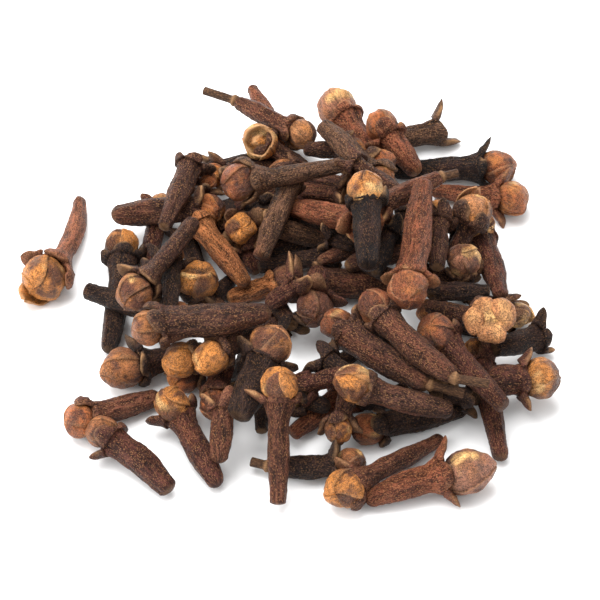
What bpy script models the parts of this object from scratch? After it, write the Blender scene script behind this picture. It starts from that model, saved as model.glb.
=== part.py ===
"""A heap of whole cloves, as poured out on a flat surface, with one clove lying beside it.

Blender script: metres, +Z up, the surface at z = 0. The heap's front is towards -Y.
"""

import math
from collections import namedtuple

import bmesh
import bpy
import numpy as np
from mathutils import Matrix, Vector

MM = 0.001

# The heap is laid out as it is seen from the front, from a point that lies
# VIEW_TILT above the floor and VIEW_DISTANCE from the heap's middle. A place is
# given as millimetres right of and above the middle of that view. Its height
# over the floor follows from what the clove comes to rest on.
VIEW_TILT = math.radians(50)
VIEW_DISTANCE = 350.0
EYE = np.array([0.0, -math.cos(VIEW_TILT), math.sin(VIEW_TILT)]) * VIEW_DISTANCE
VIEW_RIGHT = np.array([1.0, 0.0, 0.0])
VIEW_UP = np.array([0.0, math.sin(VIEW_TILT), math.cos(VIEW_TILT)])
VIEW_FORWARD = -EYE / VIEW_DISTANCE

# One clove, in millimetres: where its bud's middle and its stem's end are seen,
# the radius of the bud and of the stem, how far the stem bows to the right hand
# of someone going from its end to the bud, and the turn of its four sepals.
# kind is "bud", or "bare" for a calyx that has lost its bud. sepal is the sepals'
# length. stalk is where the tip of the thin flower stalk is seen, if that is
# still on. rise is how far the bud stands above the stem's end, for a clove that
# pokes up out of the heap.
Clove = namedtuple("Clove", "bud end bud_r stem_r bow roll kind sepal stalk rise")


def clove(
    bud, end, bud_r, stem_r, bow=0.0, roll=20.0, kind="bud", sepal=1.7, stalk=None, rise=None
):
    return Clove(bud, end, bud_r, stem_r, bow, roll, kind, sepal, stalk, rise)


def scrap(bud, end, bud_r, stem_r):
    """A small clove without its bud, deep in the heap."""
    return clove(bud, end, bud_r, stem_r, kind="bare", sepal=1.2)


BESIDE = [
    clove((-25.6, 2.2), (-22.1, 10.25), 2.35, 0.95, bow=-1.0, roll=0),
]

# From the floor up, so that each clove comes to rest on those before it.
BACK_FLOOR = [
    clove((-1.9, 16.2), (-4.8, 21.2), 1.4, 0.8),
    clove((0.2, 16.6), (-6.5, 19.95), 1.6, 1.0, roll=40, stalk=(-9.6, 20.95)),
    clove((-8.8, 13.1), (-2.5, 14.3), 1.1, 0.9, roll=10, kind="bare"),
    clove((-8.7, 12.5), (-1.5, 13.4), 1.3, 0.9, roll=0),
    clove((-4.6, 16.2), (1.2, 12.8), 1.95, 1.0, roll=45),
    clove((13.9, 16.9), (6.8, 15.6), 1.6, 1.15, roll=10, kind="bare", sepal=2.3),
    clove((19.7, 13.2), (9.3, 13.0), 1.9, 1.15, roll=0),
    clove((21.3, 10.1), (13.2, 10.9), 1.9, 0.95, roll=0),
    clove((3.8, 19.3), (8.8, 12.8), 2.1, 1.1, roll=0),
    clove((8.2, 17.4), (11.8, 12.6), 1.8, 1.25, roll=0),
    clove((5.2, 15.0), (0.3, 15.0), 1.4, 0.9),
    clove((8.2, 13.7), (4.0, 11.5), 1.5, 1.0),
    clove((8.0, 11.8), (2.2, 17.6), 1.7, 1.2),
    clove((-1.8, 12.8), (4.3, 11.8), 1.4, 0.9),
]
LEFT_FLOOR = [
    clove((-17.8, 5.45), (-19.1, -5.3), 1.95, 1.15, bow=0.3, roll=0),
    clove((-12.2, -1.9), (-21.6, 1.0), 1.8, 1.12),
    clove((-12.8, 4.5), (-13.0, -1.5), 1.2, 0.9),
    clove((-14.0, 9.6), (-15.3, 2.8), 1.3, 0.95, roll=45),
    clove((-9.3, 11.9), (-11.8, 9.0), 1.0, 0.8),
    clove((-8.8, 9.0), (-18.9, 8.5), 1.6, 1.4, bow=-0.2, roll=45),
    clove((-17.6, -6.9), (-9.5, -4.9), 2.15, 1.2, roll=0),
    clove((-11.7, -7.8), (-8.0, -4.0), 1.6, 1.0),
    clove((-8.4, -10.5), (-7.2, -3.5), 1.7, 1.1, roll=0),
    clove((-22.1, -12.1), (-14.0, -9.6), 1.8, 1.15, roll=0),
    clove((-19.8, -13.2), (-12.9, -19.1), 1.6, 1.35, bow=0.2, roll=0, sepal=1.3),
    clove((-12.9, -10.2), (-8.2, -18.6), 1.9, 1.2, bow=0.1, roll=10),
    clove((-7.6, -10.8), (-8.15, -16.3), 1.3, 1.05, kind="bare"),
    scrap((-11.9, 7.2), (-10.2, 2.0), 1.0, 0.9),
    scrap((-9.2, -0.6), (-6.6, 2.4), 1.1, 0.85),
]
FRONT_FLOOR = [
    clove((5.0, -16.3), (-3.2, -16.6), 1.6, 1.2, bow=0.25, roll=45, stalk=(-4.9, -16.15)),
    clove((5.0, -8.8), (-0.8, -13.5), 1.5, 1.15),
    clove((-3.4, -6.5), (-3.9, -13.2), 1.3, 0.95),
    clove((-0.3, -9.8), (3.0, -10.8), 1.2, 0.9),
    clove((3.8, -13.2), (5.2, -7.5), 1.4, 1.0),
    clove((6.9, -12.9), (16.7, -10.6), 1.7, 1.25, roll=0),
    clove((17.7, -5.3), (20.15, -15.9), 1.7, 1.2, bow=0.05, roll=45),
    clove((16.4, -17.15), (6.5, -20.1), 2.4, 1.3, bow=-0.3, roll=0),
    clove((4.1, -19.0), (14.3, -13.8), 1.95, 0.95, roll=15),
    scrap((16.8, -9.8), (13.0, -9.0), 1.1, 0.95),
    scrap((9.8, -10.2), (5.4, -10.9), 1.0, 0.85),
]
RIGHT_FLOOR = [
    clove((24.1, -3.7), (19.2, -4.9), 1.8, 1.2, roll=10, kind="bare", sepal=1.3),
    clove((24.0, -7.9), (18.6, -7.9), 2.1, 1.5, roll=0),
    clove((21.7, -1.4), (17.0, 0.0), 1.4, 0.9),
    clove((17.8, 7.2), (20.1, 0.2), 1.8, 1.15, bow=0.1, roll=30),
    clove((16.2, 1.7), (10.5, 3.5), 1.6, 1.0, roll=45, kind="bare"),
]
MIDDLE_FLOOR = [
    clove((1.8, 1.8), (9.6, 1.3), 1.5, 1.5, kind="bare"),
    clove((9.8, -3.5), (4.6, -1.9), 1.4, 0.9),
    clove((13.0, -1.2), (18.5, -3.2), 1.4, 1.0),
    clove((-4.2, 7.8), (2.8, 5.7), 1.5, 1.1),
    clove((-5.7, 5.8), (-4.3, 2.6), 1.2, 1.0),
    clove((3.2, 4.4), (-4.2, 3.3), 1.2, 0.9),
    clove((7.5, 6.0), (1.8, 3.8), 1.2, 0.8),
    clove((11.2, 9.0), (8.6, 4.2), 1.2, 1.0),
    clove((-1.5, 2.0), (-7.3, 0.1), 1.5, 1.0),
    clove((-1.8, -1.8), (-6.0, -3.0), 1.2, 0.8),
    clove((13.2, 5.2), (4.5, 3.3), 1.6, 1.2, bow=-0.4),
    scrap((13.6, 0.8), (19.0, 0.9), 1.1, 0.9),
    scrap((10.2, 1.9), (6.0, 3.6), 1.0, 0.8),
    scrap((6.6, -4.6), (3.0, -6.8), 1.0, 0.8),
    scrap((-6.6, -8.9), (-6.0, -4.4), 1.0, 0.8),
    scrap((-0.9, -2.4), (-3.0, 0.6), 1.1, 0.9),
    scrap((14.0, -8.2), (10.0, -5.2), 1.1, 0.9),
    scrap((15.3, 7.6), (14.9, 3.6), 1.0, 0.8),
    scrap((3.0, 6.3), (5.4, 5.3), 1.0, 0.8),
    scrap((-14.1, 2.8), (-13.9, -0.6), 1.0, 0.8),
]
SECOND_LAYER = [
    clove((19.6, -2.0), (12.8, -0.7), 2.3, 1.0, roll=45),
    clove((13.9, 8.7), (13.7, 3.2), 1.5, 1.0),
    clove((17.0, 9.3), (14.7, 3.8), 1.9, 1.0, roll=45),
    clove((9.2, 7.4), (7.5, 2.5), 1.2, 0.9),
    clove((5.6, 13.7), (10.2, 10.8), 1.3, 0.8, roll=45, kind="bare"),
    clove((7.2, 9.2), (14.1, 12.3), 1.5, 1.1, stalk=(15.8, 12.7)),
    clove((6.8, 7.8), (-0.7, 9.2), 1.8, 1.3),
    clove((4.3, 10.5), (-3.6, 11.2), 1.3, 0.95, roll=30, kind="bare"),
    clove((-12.0, -6.0), (-6.5, -4.7), 1.8, 1.0, roll=45),
    clove((-9.0, -5.8), (-3.8, -2.5), 1.8, 1.1, roll=0),
    clove((1.4, -1.0), (1.9, 3.2), 1.9, 1.3, roll=0),
    clove((-0.2, 1.6), (-3.4, -0.6), 1.3, 1.0, roll=20, kind="bare", sepal=2.6),
    clove((2.6, -6.0), (7.5, -9.2), 1.6, 1.0, roll=45, kind="bare"),
    clove((1.0, -8.4), (4.5, -7.2), 1.5, 0.9, roll=10, kind="bare"),
    clove((15.9, 4.8), (16.2, 1.5), 1.8, 1.0, roll=10, rise=4.0),
    clove((-6.0, 7.1), (-5.2, 7.6), 1.6, 1.0, roll=0, rise=5.0),
    clove((-2.9, -4.6), (-6.2, -11.8), 2.2, 1.6, roll=0),
]
TOP_LAYER = [
    clove((5.2, -8.3), (15.3, -11.0), 1.9, 1.2, bow=-0.3, roll=45),
    clove((3.7, -3.0), (13.0, -9.1), 1.7, 1.45, bow=-0.3, roll=0, stalk=(16.4, -9.4)),
    clove((13.4, -3.2), (20.4, -10.7), 2.1, 1.2, roll=0),
    clove((7.6, -0.7), (15.4, -7.8), 1.8, 1.35, bow=-0.4, roll=0, sepal=2.1, stalk=(18.9, -8.4)),
    clove((-2.0, -8.2), (-2.2, -20.5), 2.0, 1.05, roll=0),
    clove((6.5, 11.0), (6.8, 3.2), 1.9, 1.35, roll=0),
    clove((-1.0, 11.8), (-3.8, 4.2), 1.5, 1.15, roll=30, kind="bare"),
    clove((-6.2, 11.8), (4.3, 13.4), 2.0, 1.0, roll=0),
    clove((-10.9, 13.6), (-13.6, 7.2), 1.5, 1.1, roll=0, kind="bare", sepal=1.4),
    clove((-10.0, 7.6), (-5.3, 1.5), 1.5, 1.2, roll=30, kind="bare"),
    clove((-10.7, 2.3), (-12.0, -0.3), 2.2, 1.3, roll=0, rise=3.0),
    clove((-16.5, 0.7), (-10.4, 8.0), 2.0, 1.0, roll=0),
    clove((-15.2, -2.7), (-2.9, -1.3), 1.9, 1.6, roll=10),
    clove((10.9, 0.8), (12.4, 11.8), 2.1, 1.35, roll=0, sepal=1.2),
]
HEAP = (
    BACK_FLOOR + LEFT_FLOOR + FRONT_FLOOR + RIGHT_FLOOR + MIDDLE_FLOOR + SECOND_LAYER + TOP_LAYER
)

# The low mound in the heap's middle that the cloves are fused to, as lumps:
# plan position of the top, radius along X and along Y, and height.
CORE_LUMPS = [
    ((-4.0, 9.5), (7.0, 4.5), 2.4),
    ((5.0, 11.5), (3.5, 4.0), 2.4),
]
CORE_SIDES = 12
CORE_RINGS = (0.0, 0.55, 0.9)

# While a clove settles, balls along it stand for it: the first and the last
# ball's share of its length and their number, then those of a stalk. A bare
# calyx's ball is BARE_HEAD times as wide as its stem.
STEM_BEADS = (0.05, 0.85, 8)
STALK_BEADS = (0.4, 0.9)
STALK_RADIUS = 0.45
BARE_HEAD = 1.25
END_THICKNESS = 0.74
MORE_THICKNESS = 0.30

# How far one clove may sink into another, so that the two fuse, and the gap at
# which they surely have. Any pair needed to hold the heap together that lies
# further apart is joined by a thin rod, BRIDGE_RADIUS thick.
SINK = 0.4
FUSED = -0.3
BRIDGE_RADIUS = 0.45
BRIDGE_SIDES = 5
START_HEIGHT = 22.0
# A clove may also roll this far sideways, if it then comes to lie lower by at
# least NUDGE_PRICE times as much.
NUDGE = 0.6
NUDGE_WAYS = 8
NUDGE_PRICE = 2.5
COARSE_STEP = 0.6
FINE_STEP = 0.1
SETTLE_ROUNDS = 4
STEEPEST = math.radians(38)


def on_sight_line(place, height):
    """The point at this height that is seen at this place of the view."""
    seen = place[0] * VIEW_RIGHT + place[1] * VIEW_UP
    share = (EYE[2] - height) / (EYE[2] - seen[2])
    return EYE + (seen - EYE) * share


class Spine:
    """A clove's middle line, from the stem's end through the bud's middle."""

    def __init__(self, shape, end_height, bud_height):
        self.end = on_sight_line(shape.end, end_height)
        self.bud = on_sight_line(shape.bud, bud_height)
        along = self.bud - self.end
        self.length = float(np.linalg.norm(along))
        side = np.cross(VIEW_FORWARD, along / self.length)
        side /= max(np.linalg.norm(side), 1e-9)
        self.bend = (self.end + self.bud) / 2 + side * shape.bow * 2

    def point(self, share):
        """Position at this share of the length. Past 1 it goes straight on."""
        if share > 1:
            return self.bud + self.direction(1) * (share - 1) * self.length
        rest = 1 - share
        return rest * rest * self.end + 2 * rest * share * self.bend + share * share * self.bud

    def direction(self, share):
        share = min(share, 1)
        slope = (1 - share) * (self.bend - self.end) + share * (self.bud - self.bend)
        return slope / np.linalg.norm(slope)


def thickness(share):
    """The stem's radius as a share of its widest, from its end to the calyx."""
    return END_THICKNESS + MORE_THICKNESS * math.sin(math.pi * (0.15 + 0.75 * share))


def beads(shape, spine):
    """Balls along the clove that stand for it while it settles: centres, radii."""
    shares = np.linspace(*STEM_BEADS)
    centres = [spine.point(s) for s in shares]
    radii = [shape.stem_r * thickness(s) for s in shares]
    centres.append(spine.bud)
    radii.append(shape.bud_r if shape.kind == "bud" else shape.stem_r * BARE_HEAD)
    if shape.stalk:
        tip = on_sight_line(shape.stalk, spine.end[2])
        for share in STALK_BEADS:
            centres.append(spine.end + (tip - spine.end) * share)
            radii.append(STALK_RADIUS)
    return np.array(centres), np.array(radii)


def core_height(centres):
    """Height of the core under each of these points."""
    height = np.zeros(len(centres))
    for middle, radius, top in CORE_LUMPS:
        away = ((centres[:, 0] - middle[0]) / radius[0]) ** 2
        away += ((centres[:, 1] - middle[1]) / radius[1]) ** 2
        height = np.maximum(height, top * np.sqrt(np.clip(1 - away, 0, 1)))
    return height


def is_free(centres, radii, others):
    """Whether these balls clear the floor, the core and the other balls."""
    under = core_height(centres)
    lift = np.where(under > 0, under - SINK, 0)
    if (centres[:, 2] - radii < lift).any():
        return False
    if not len(others[0]):
        return True
    gaps = np.linalg.norm(centres[:, None, :] - others[0][None, :, :], axis=2)
    return bool((gaps > radii[:, None] + others[1][None, :] - SINK).all())


def settle(shape, others):
    """The lowest place that a clove finds on the others, close to where it is seen."""
    best, least = None, math.inf
    for step in range(NUDGE_WAYS + 1):
        turn = 2 * math.pi * step / NUDGE_WAYS
        reach = NUDGE if step < NUDGE_WAYS else 0
        nudge = reach * math.cos(turn), reach * math.sin(turn)
        moved = shape._replace(
            bud=(shape.bud[0] + nudge[0], shape.bud[1] + nudge[1]),
            end=(shape.end[0] + nudge[0], shape.end[1] + nudge[1]),
        )
        spine = lower(moved, others)
        cost = (spine.bud[2] + spine.end[2]) / 2 + reach * NUDGE_PRICE
        if cost < least:
            best, least = spine, cost
    return best


def lower(shape, others):
    """Lowers one clove along the line of sight until it rests, and gives its spine."""
    low_end, low_bud = shape.stem_r * 0.8, shape.bud_r

    def fits(end_height, bud_height):
        if end_height < low_end or bud_height < low_bud:
            return False
        spine = Spine(shape, end_height, bud_height)
        if abs(bud_height - end_height) > spine.length * math.sin(STEEPEST):
            return False
        return is_free(*beads(shape, spine), others)

    if shape.rise is not None:
        height = START_HEIGHT

        def bud_fits(bud_height):
            centre = on_sight_line(shape.bud, bud_height)[None, :]
            return bud_height >= low_bud and is_free(centre, np.array([shape.bud_r]), others)

        while bud_fits(height - FINE_STEP):
            height -= FINE_STEP
        return Spine(shape, max(low_end, height - shape.rise), height)

    end_height = bud_height = START_HEIGHT
    for step in (COARSE_STEP, FINE_STEP):
        while fits(end_height - step, bud_height - step):
            end_height -= step
            bud_height -= step
    for _ in range(SETTLE_ROUNDS):
        while fits(end_height, bud_height - FINE_STEP):
            bud_height -= FINE_STEP
        while fits(end_height - FINE_STEP, bud_height):
            end_height -= FINE_STEP
        while fits(end_height - FINE_STEP, bud_height - FINE_STEP):
            end_height -= FINE_STEP
            bud_height -= FINE_STEP
    return Spine(shape, end_height, bud_height)


def settle_all(shapes):
    """The spine of each clove, once each has come to rest on those before it."""
    centres, radii, spines = np.zeros((0, 3)), np.zeros(0), []
    for shape in shapes:
        spine = settle(shape, (centres, radii))
        more, their_radii = beads(shape, spine)
        centres = np.vstack([centres, more])
        radii = np.concatenate([radii, their_radii])
        spines.append(spine)
    return spines


def bridges(shapes, spines):
    """Pairs of points that link cloves lying close but not fused, so the heap is one."""
    sets = [beads(shape, spine) for shape, spine in zip(shapes, spines)]
    links = []
    for i, (here, here_r) in enumerate(sets):
        for j in range(i):
            there, there_r = sets[j]
            gaps = np.linalg.norm(here[:, None, :] - there[None, :, :], axis=2)
            gaps -= here_r[:, None] + there_r[None, :]
            a, b = np.unravel_index(gaps.argmin(), gaps.shape)
            links.append((gaps[a, b], i, j, here[a], there[b]))
    links.sort(key=lambda link: link[0])
    group = list(range(len(sets)))
    made = []
    for gap, i, j, here, there in links:
        if group[i] == group[j]:
            continue
        old, new = group[i], group[j]
        group = [new if g == old else g for g in group]
        if gap > FUSED:
            made.append((here, there))
    return made


# Mesh of one clove: rings of SIDES points from the stem's end to the bud's top.
# A bud's rings have their latitude in degrees and their radius as a share.
# A sepal's tip stands out from the bud by SEPAL_FLARE of its length, and above
# the calyx by SEPAL_RISE of it, and is at least SEPAL_CLEAR above the floor.
SIDES = 8
FLAT_SIDE_GAIN = 1.05
CALYX_BELOW_BUD = 0.75
CALYX_FLARE = 1.12
BARE_TOP = 0.78
BUD_RINGS = ((-18, 1.04), (42, 0.86))
SEPAL_FLARE = 0.3
SEPAL_RISE = 0.6
BARE_SEPAL_RISE = 0.8
SEPAL_CLEAR = 0.15


def ring_points(centre, axis, roll, radii, shifts):
    """One ring round the axis, its points at their own radius and shift along it."""
    axis = Vector(axis)
    side = Vector(VIEW_FORWARD).cross(axis).normalized()
    across = axis.cross(side)
    points = []
    for i in range(SIDES):
        angle = roll + 2 * math.pi * i / SIDES
        out = side * math.cos(angle) + across * math.sin(angle)
        points.append(Vector(centre) + out * radii[i] + axis * shifts[i])
    return points


def clove_rings(shape, spine):
    """All rings of a clove, and the point that closes it at the top."""
    roll = math.radians(shape.roll)
    stem = shape.stem_r * FLAT_SIDE_GAIN
    rings = []

    def circle(centre, axis, radius):
        rings.append(ring_points(centre, axis, roll, [radius] * SIDES, [0.0] * SIDES))

    def plain(share, radius):
        circle(spine.point(share), spine.direction(share), radius)

    if shape.stalk:
        tip = on_sight_line(shape.stalk, spine.end[2])
        axis = (spine.end - tip) / np.linalg.norm(spine.end - tip)
        circle(tip, axis, STALK_RADIUS)
        circle(spine.end - axis * STALK_RADIUS / 2, axis, STALK_RADIUS)
    has_bud = shape.kind == "bud"
    calyx = 1 - (CALYX_BELOW_BUD * shape.bud_r if has_bud else 0.0) / spine.length
    plain(0.01, stem * END_THICKNESS)
    if shape.bow:
        plain(calyx * 0.3, stem)
    plain(calyx * 0.75, stem)
    # The four sepals are every second point of the calyx ring, drawn out and forward.
    reach = (max(0.95 * shape.bud_r, stem) if has_bud else stem) + SEPAL_FLARE * shape.sepal
    rise = (SEPAL_RISE if has_bud else BARE_SEPAL_RISE) * shape.sepal
    radii = [reach if i % 2 == 0 else stem * CALYX_FLARE for i in range(SIDES)]
    shifts = [rise if i % 2 == 0 else 0.0 for i in range(SIDES)]
    axis = spine.direction(calyx)
    calyx_ring = ring_points(spine.point(calyx), axis, roll, radii, shifts)
    rings.append(calyx_ring)
    if has_bud:
        for turn, radius in BUD_RINGS:
            rise = math.sin(math.radians(turn)) * shape.bud_r / spine.length
            plain(1 + rise, radius * shape.bud_r)
        top = spine.point(1 + shape.bud_r / spine.length)
    else:
        plain(calyx, stem * BARE_TOP)
        top = spine.point(calyx) + axis * stem * BARE_TOP / 2
    return rings, calyx_ring, Vector(top)


def add_clove(name, shape, spine, collection):
    """One clove as a closed faceted mesh object."""
    mesh = bmesh.new()
    rings, calyx_ring, top = clove_rings(shape, spine)
    made = [[mesh.verts.new(p * MM) for p in ring] for ring in rings]
    mesh.faces.new(made[0][::-1])
    for low, high in zip(made, made[1:]):
        for i in range(SIDES):
            j = (i + 1) % SIDES
            mesh.faces.new((low[i], low[j], high[j], high[i]))
    tip = mesh.verts.new(top * MM)
    for i in range(SIDES):
        mesh.faces.new((made[-1][i], made[-1][(i + 1) % SIDES], tip))
    for vert in mesh.verts:
        vert.co.z = max(vert.co.z, 0.0)
    for vert in made[rings.index(calyx_ring)][::2]:
        vert.co.z = max(vert.co.z, SEPAL_CLEAR * MM)
    bmesh.ops.triangulate(mesh, faces=mesh.faces)
    if mesh.calc_volume(signed=True) < 0:
        bmesh.ops.reverse_faces(mesh, faces=mesh.faces)
    return mesh_object(name, mesh, collection)


def mesh_object(name, mesh, collection):
    data = bpy.data.meshes.new(name)
    mesh.to_mesh(data)
    mesh.free()
    made = bpy.data.objects.new(name, data)
    collection.objects.link(made)
    return made


def add_bridge(name, ends, collection):
    """A thin straight rod between two points."""
    mesh = bmesh.new()
    along = Vector(ends[1]) - Vector(ends[0])
    turn = along.to_track_quat("Z", "Y").to_matrix().to_4x4()
    place = Matrix.Translation((Vector(ends[0]) + along / 2) * MM) @ turn
    bmesh.ops.create_cone(
        mesh,
        cap_ends=True,
        segments=BRIDGE_SIDES,
        radius1=BRIDGE_RADIUS * MM,
        radius2=BRIDGE_RADIUS * MM,
        depth=along.length * MM,
        matrix=place,
    )
    bmesh.ops.triangulate(mesh, faces=mesh.faces)
    return mesh_object(name, mesh, collection)


def add_core_lump(name, lump, collection):
    """A low flat-bottomed dome."""
    (x, y), (rx, ry), top = lump
    mesh = bmesh.new()
    rings = []
    for rise in CORE_RINGS:
        spread = math.sqrt(1 - rise * rise)
        ring = []
        for i in range(CORE_SIDES):
            turn = 2 * math.pi * i / CORE_SIDES
            edge = (x + rx * spread * math.cos(turn), y + ry * spread * math.sin(turn), top * rise)
            ring.append(mesh.verts.new(Vector(edge) * MM))
        rings.append(ring)
    mesh.faces.new(rings[0][::-1])
    mesh.faces.new(rings[-1])
    for low, high in zip(rings, rings[1:]):
        for i in range(CORE_SIDES):
            j = (i + 1) % CORE_SIDES
            mesh.faces.new((low[i], low[j], high[j], high[i]))
    bmesh.ops.triangulate(mesh, faces=mesh.faces)
    bmesh.ops.recalc_face_normals(mesh, faces=mesh.faces)
    return mesh_object(name, mesh, collection)


def fuse(name, collection):
    """One object from all of a collection's overlapping solids, which it removes."""
    base = collection.objects[0]
    collection.objects.unlink(base)
    bpy.context.scene.collection.objects.link(base)
    union = base.modifiers.new("union", "BOOLEAN")
    union.operation = "UNION"
    union.solver = "MANIFOLD"
    union.operand_type = "COLLECTION"
    union.collection = collection
    graph = bpy.context.evaluated_depsgraph_get()
    fused = bpy.data.meshes.new_from_object(base.evaluated_get(graph))
    base.modifiers.clear()
    base.data = fused
    base.name = name
    for other in list(collection.objects):
        bpy.data.objects.remove(other)
    bpy.data.collections.remove(collection)
    return base


def keep_outer_skin(piece):
    """Fills hollows that fusing has sealed, and drops loose scraps."""
    mesh = bmesh.new()
    mesh.from_mesh(piece.data)
    left, islands = set(mesh.verts), []
    while left:
        island, edge = set(), [left.pop()]
        while edge:
            vert = edge.pop()
            island.add(vert)
            for near in (e.other_vert(vert) for e in vert.link_edges):
                if near in left:
                    left.remove(near)
                    edge.append(near)
        islands.append(island)
    islands.sort(key=len, reverse=True)
    for island in islands[1:]:
        bmesh.ops.delete(mesh, geom=list(island), context="VERTS")
    mesh.to_mesh(piece.data)
    mesh.free()


def add_material(piece, name, colour, roughness):
    material = bpy.data.materials.new(name)
    material.use_nodes = True
    shader = material.node_tree.nodes["Principled BSDF"]
    shader.inputs["Base Color"].default_value = (*colour, 1)
    shader.inputs["Roughness"].default_value = roughness
    shader.inputs["Metallic"].default_value = 0
    piece.data.materials.clear()
    piece.data.materials.append(material)


def set_down(piece):
    """Lowers a piece onto the floor."""
    lowest = min(v.co.z for v in piece.data.vertices)
    piece.data.transform(Matrix.Translation((0, 0, -lowest)))


def centre_on_origin(pieces):
    """Moves the meshes so that the middle of the whole's base is the origin."""
    corners = [v.co for piece in pieces for v in piece.data.vertices]
    low = Vector(min(c[i] for c in corners) for i in range(3))
    high = Vector(max(c[i] for c in corners) for i in range(3))
    middle = (low + high) / 2
    for piece in pieces:
        piece.data.transform(Matrix.Translation((-middle.x, -middle.y, -low.z)))


def main():
    for old in list(bpy.data.objects):
        bpy.data.objects.remove(old)
    scene = bpy.context.scene.collection
    spines = settle_all(BESIDE + HEAP)
    shapes = BESIDE + HEAP
    heap_parts = bpy.data.collections.new("heap_parts")
    scene.children.link(heap_parts)
    for i, lump in enumerate(CORE_LUMPS):
        add_core_lump(f"core_{i}", lump, heap_parts)
    for i in range(len(BESIDE), len(shapes)):
        add_clove(f"clove_{i}", shapes[i], spines[i], heap_parts)
    for i, ends in enumerate(bridges(shapes[len(BESIDE):], spines[len(BESIDE):])):
        add_bridge(f"bridge_{i}", ends, heap_parts)
    heap = fuse("clove_heap", heap_parts)
    keep_outer_skin(heap)
    beside = add_clove("clove_beside", shapes[0], spines[0], scene)
    set_down(beside)
    add_material(heap, "dark_clove", (0.10, 0.045, 0.025), 0.6)
    add_material(beside, "brown_clove", (0.22, 0.09, 0.04), 0.6)
    centre_on_origin([heap, beside])


main()
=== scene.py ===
"""The looks of a heap of whole cloves on a pale surface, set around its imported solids.

Blender script, metres, +Z up. The heap's front is towards -Y. The cloves are laid out by
where they are seen from the front and settle on one another, just as in the solids.
"""

import itertools
import math
import random
from collections import namedtuple

import bpy
import numpy as np
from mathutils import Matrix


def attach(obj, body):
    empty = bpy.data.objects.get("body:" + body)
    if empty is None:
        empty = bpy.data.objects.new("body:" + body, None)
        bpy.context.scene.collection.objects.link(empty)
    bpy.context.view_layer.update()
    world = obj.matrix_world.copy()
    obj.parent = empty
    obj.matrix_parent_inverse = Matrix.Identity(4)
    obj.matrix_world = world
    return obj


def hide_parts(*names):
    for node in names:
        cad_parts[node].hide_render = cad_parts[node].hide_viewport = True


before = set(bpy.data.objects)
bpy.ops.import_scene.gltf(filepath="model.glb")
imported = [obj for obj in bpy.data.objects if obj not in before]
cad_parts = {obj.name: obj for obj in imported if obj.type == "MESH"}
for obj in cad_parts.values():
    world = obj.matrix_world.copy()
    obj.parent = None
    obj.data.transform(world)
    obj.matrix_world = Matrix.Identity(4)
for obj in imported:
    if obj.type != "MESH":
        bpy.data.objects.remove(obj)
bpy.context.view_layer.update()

MM = 0.001
# Nothing reaches lower than this above the surface, in millimetres.
FLOOR_GAP = 0.02

# The view that the heap is laid out in, in millimetres: its tilt above the floor,
# its distance, and where its middle lies in the frame.
VIEW_TILT = math.radians(50)
VIEW_DISTANCE = 350.0
VIEW_WIDTH = 60.0
VIEW_MIDDLE = np.array([1.27, -0.67, 0.0])
EYE = np.array([0.0, -math.cos(VIEW_TILT), math.sin(VIEW_TILT)]) * VIEW_DISTANCE
VIEW_RIGHT = np.array([1.0, 0.0, 0.0])
VIEW_UP = np.array([0.0, math.sin(VIEW_TILT), math.cos(VIEW_TILT)])
VIEW_FORWARD = -EYE / VIEW_DISTANCE

# Colours of dried cloves as they look in soft daylight, 0 to 255. The darkest skin is
# partly the cloves' own colour and partly painted shade.
SKINS = {
    "jet_and_shade": (26, 18, 18),
    "black": (44, 29, 25),
    "dark": (72, 45, 36),
    "grey": (86, 60, 46),
    "plum": (78, 44, 36),
    "brown": (94, 56, 42),
    "red": (114, 64, 44),
    "rust": (134, 82, 60),
    "bright": (148, 90, 52),
}
PETALS = {
    "gold": (196, 124, 58),
    "tan": (184, 122, 76),
    "pink": (170, 112, 84),
    "orange": (168, 94, 50),
    "red": (138, 76, 46),
    "brown": (144, 88, 52),
    "cream": (228, 178, 114),
    "mauve": (150, 100, 78),
    "bark": (104, 62, 46),
}
# Pale edges, rims and cut ends. On the buds' petal lips this pale is a painted highlight.
PALE_EDGE = (204, 154, 106)
# Pale specks: partly the skin's pale grain, partly painted glints.
PALE_SPECK_AND_GLINT = (214, 158, 104)
STALK_TONE = (78, 54, 38)
# The core is painted as dark as cloves in deep shade.
CORE_SHADE_TONE = (36, 24, 20)

# One clove. The first fields place and shape it as in the solids: places seen and
# sizes in millimetres. skin and petals name its colours, parted says how many of its
# petals stand off the bud, and pale how much of the bud is cream. lobes has a letter
# for the sepal on its right, far, left and near side, seen with the bud ahead: o stands
# out, h hugs the bud, c curls back, s is short, and a dot is broken off. face says how
# far the bud's top is turned to the front, and form is point, square, fold, cup or star
# where the bud isn't plainly round.
Clove = namedtuple(
    "Clove",
    "bud end bud_r stem_r skin petals bow roll kind sepal stalk rise parted pale lobes face form",
    defaults=("dark", "gold", 0.0, 20.0, "bud", 1.7, None, None, 0, 0.0, "", 0.0, ""),
)


def scrap(bud, end, bud_r, stem_r):
    """A small dark clove without its bud, deep in the heap."""
    return Clove(bud, end, bud_r, stem_r, "black", "brown", kind="bare", sepal=1.2)


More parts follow.
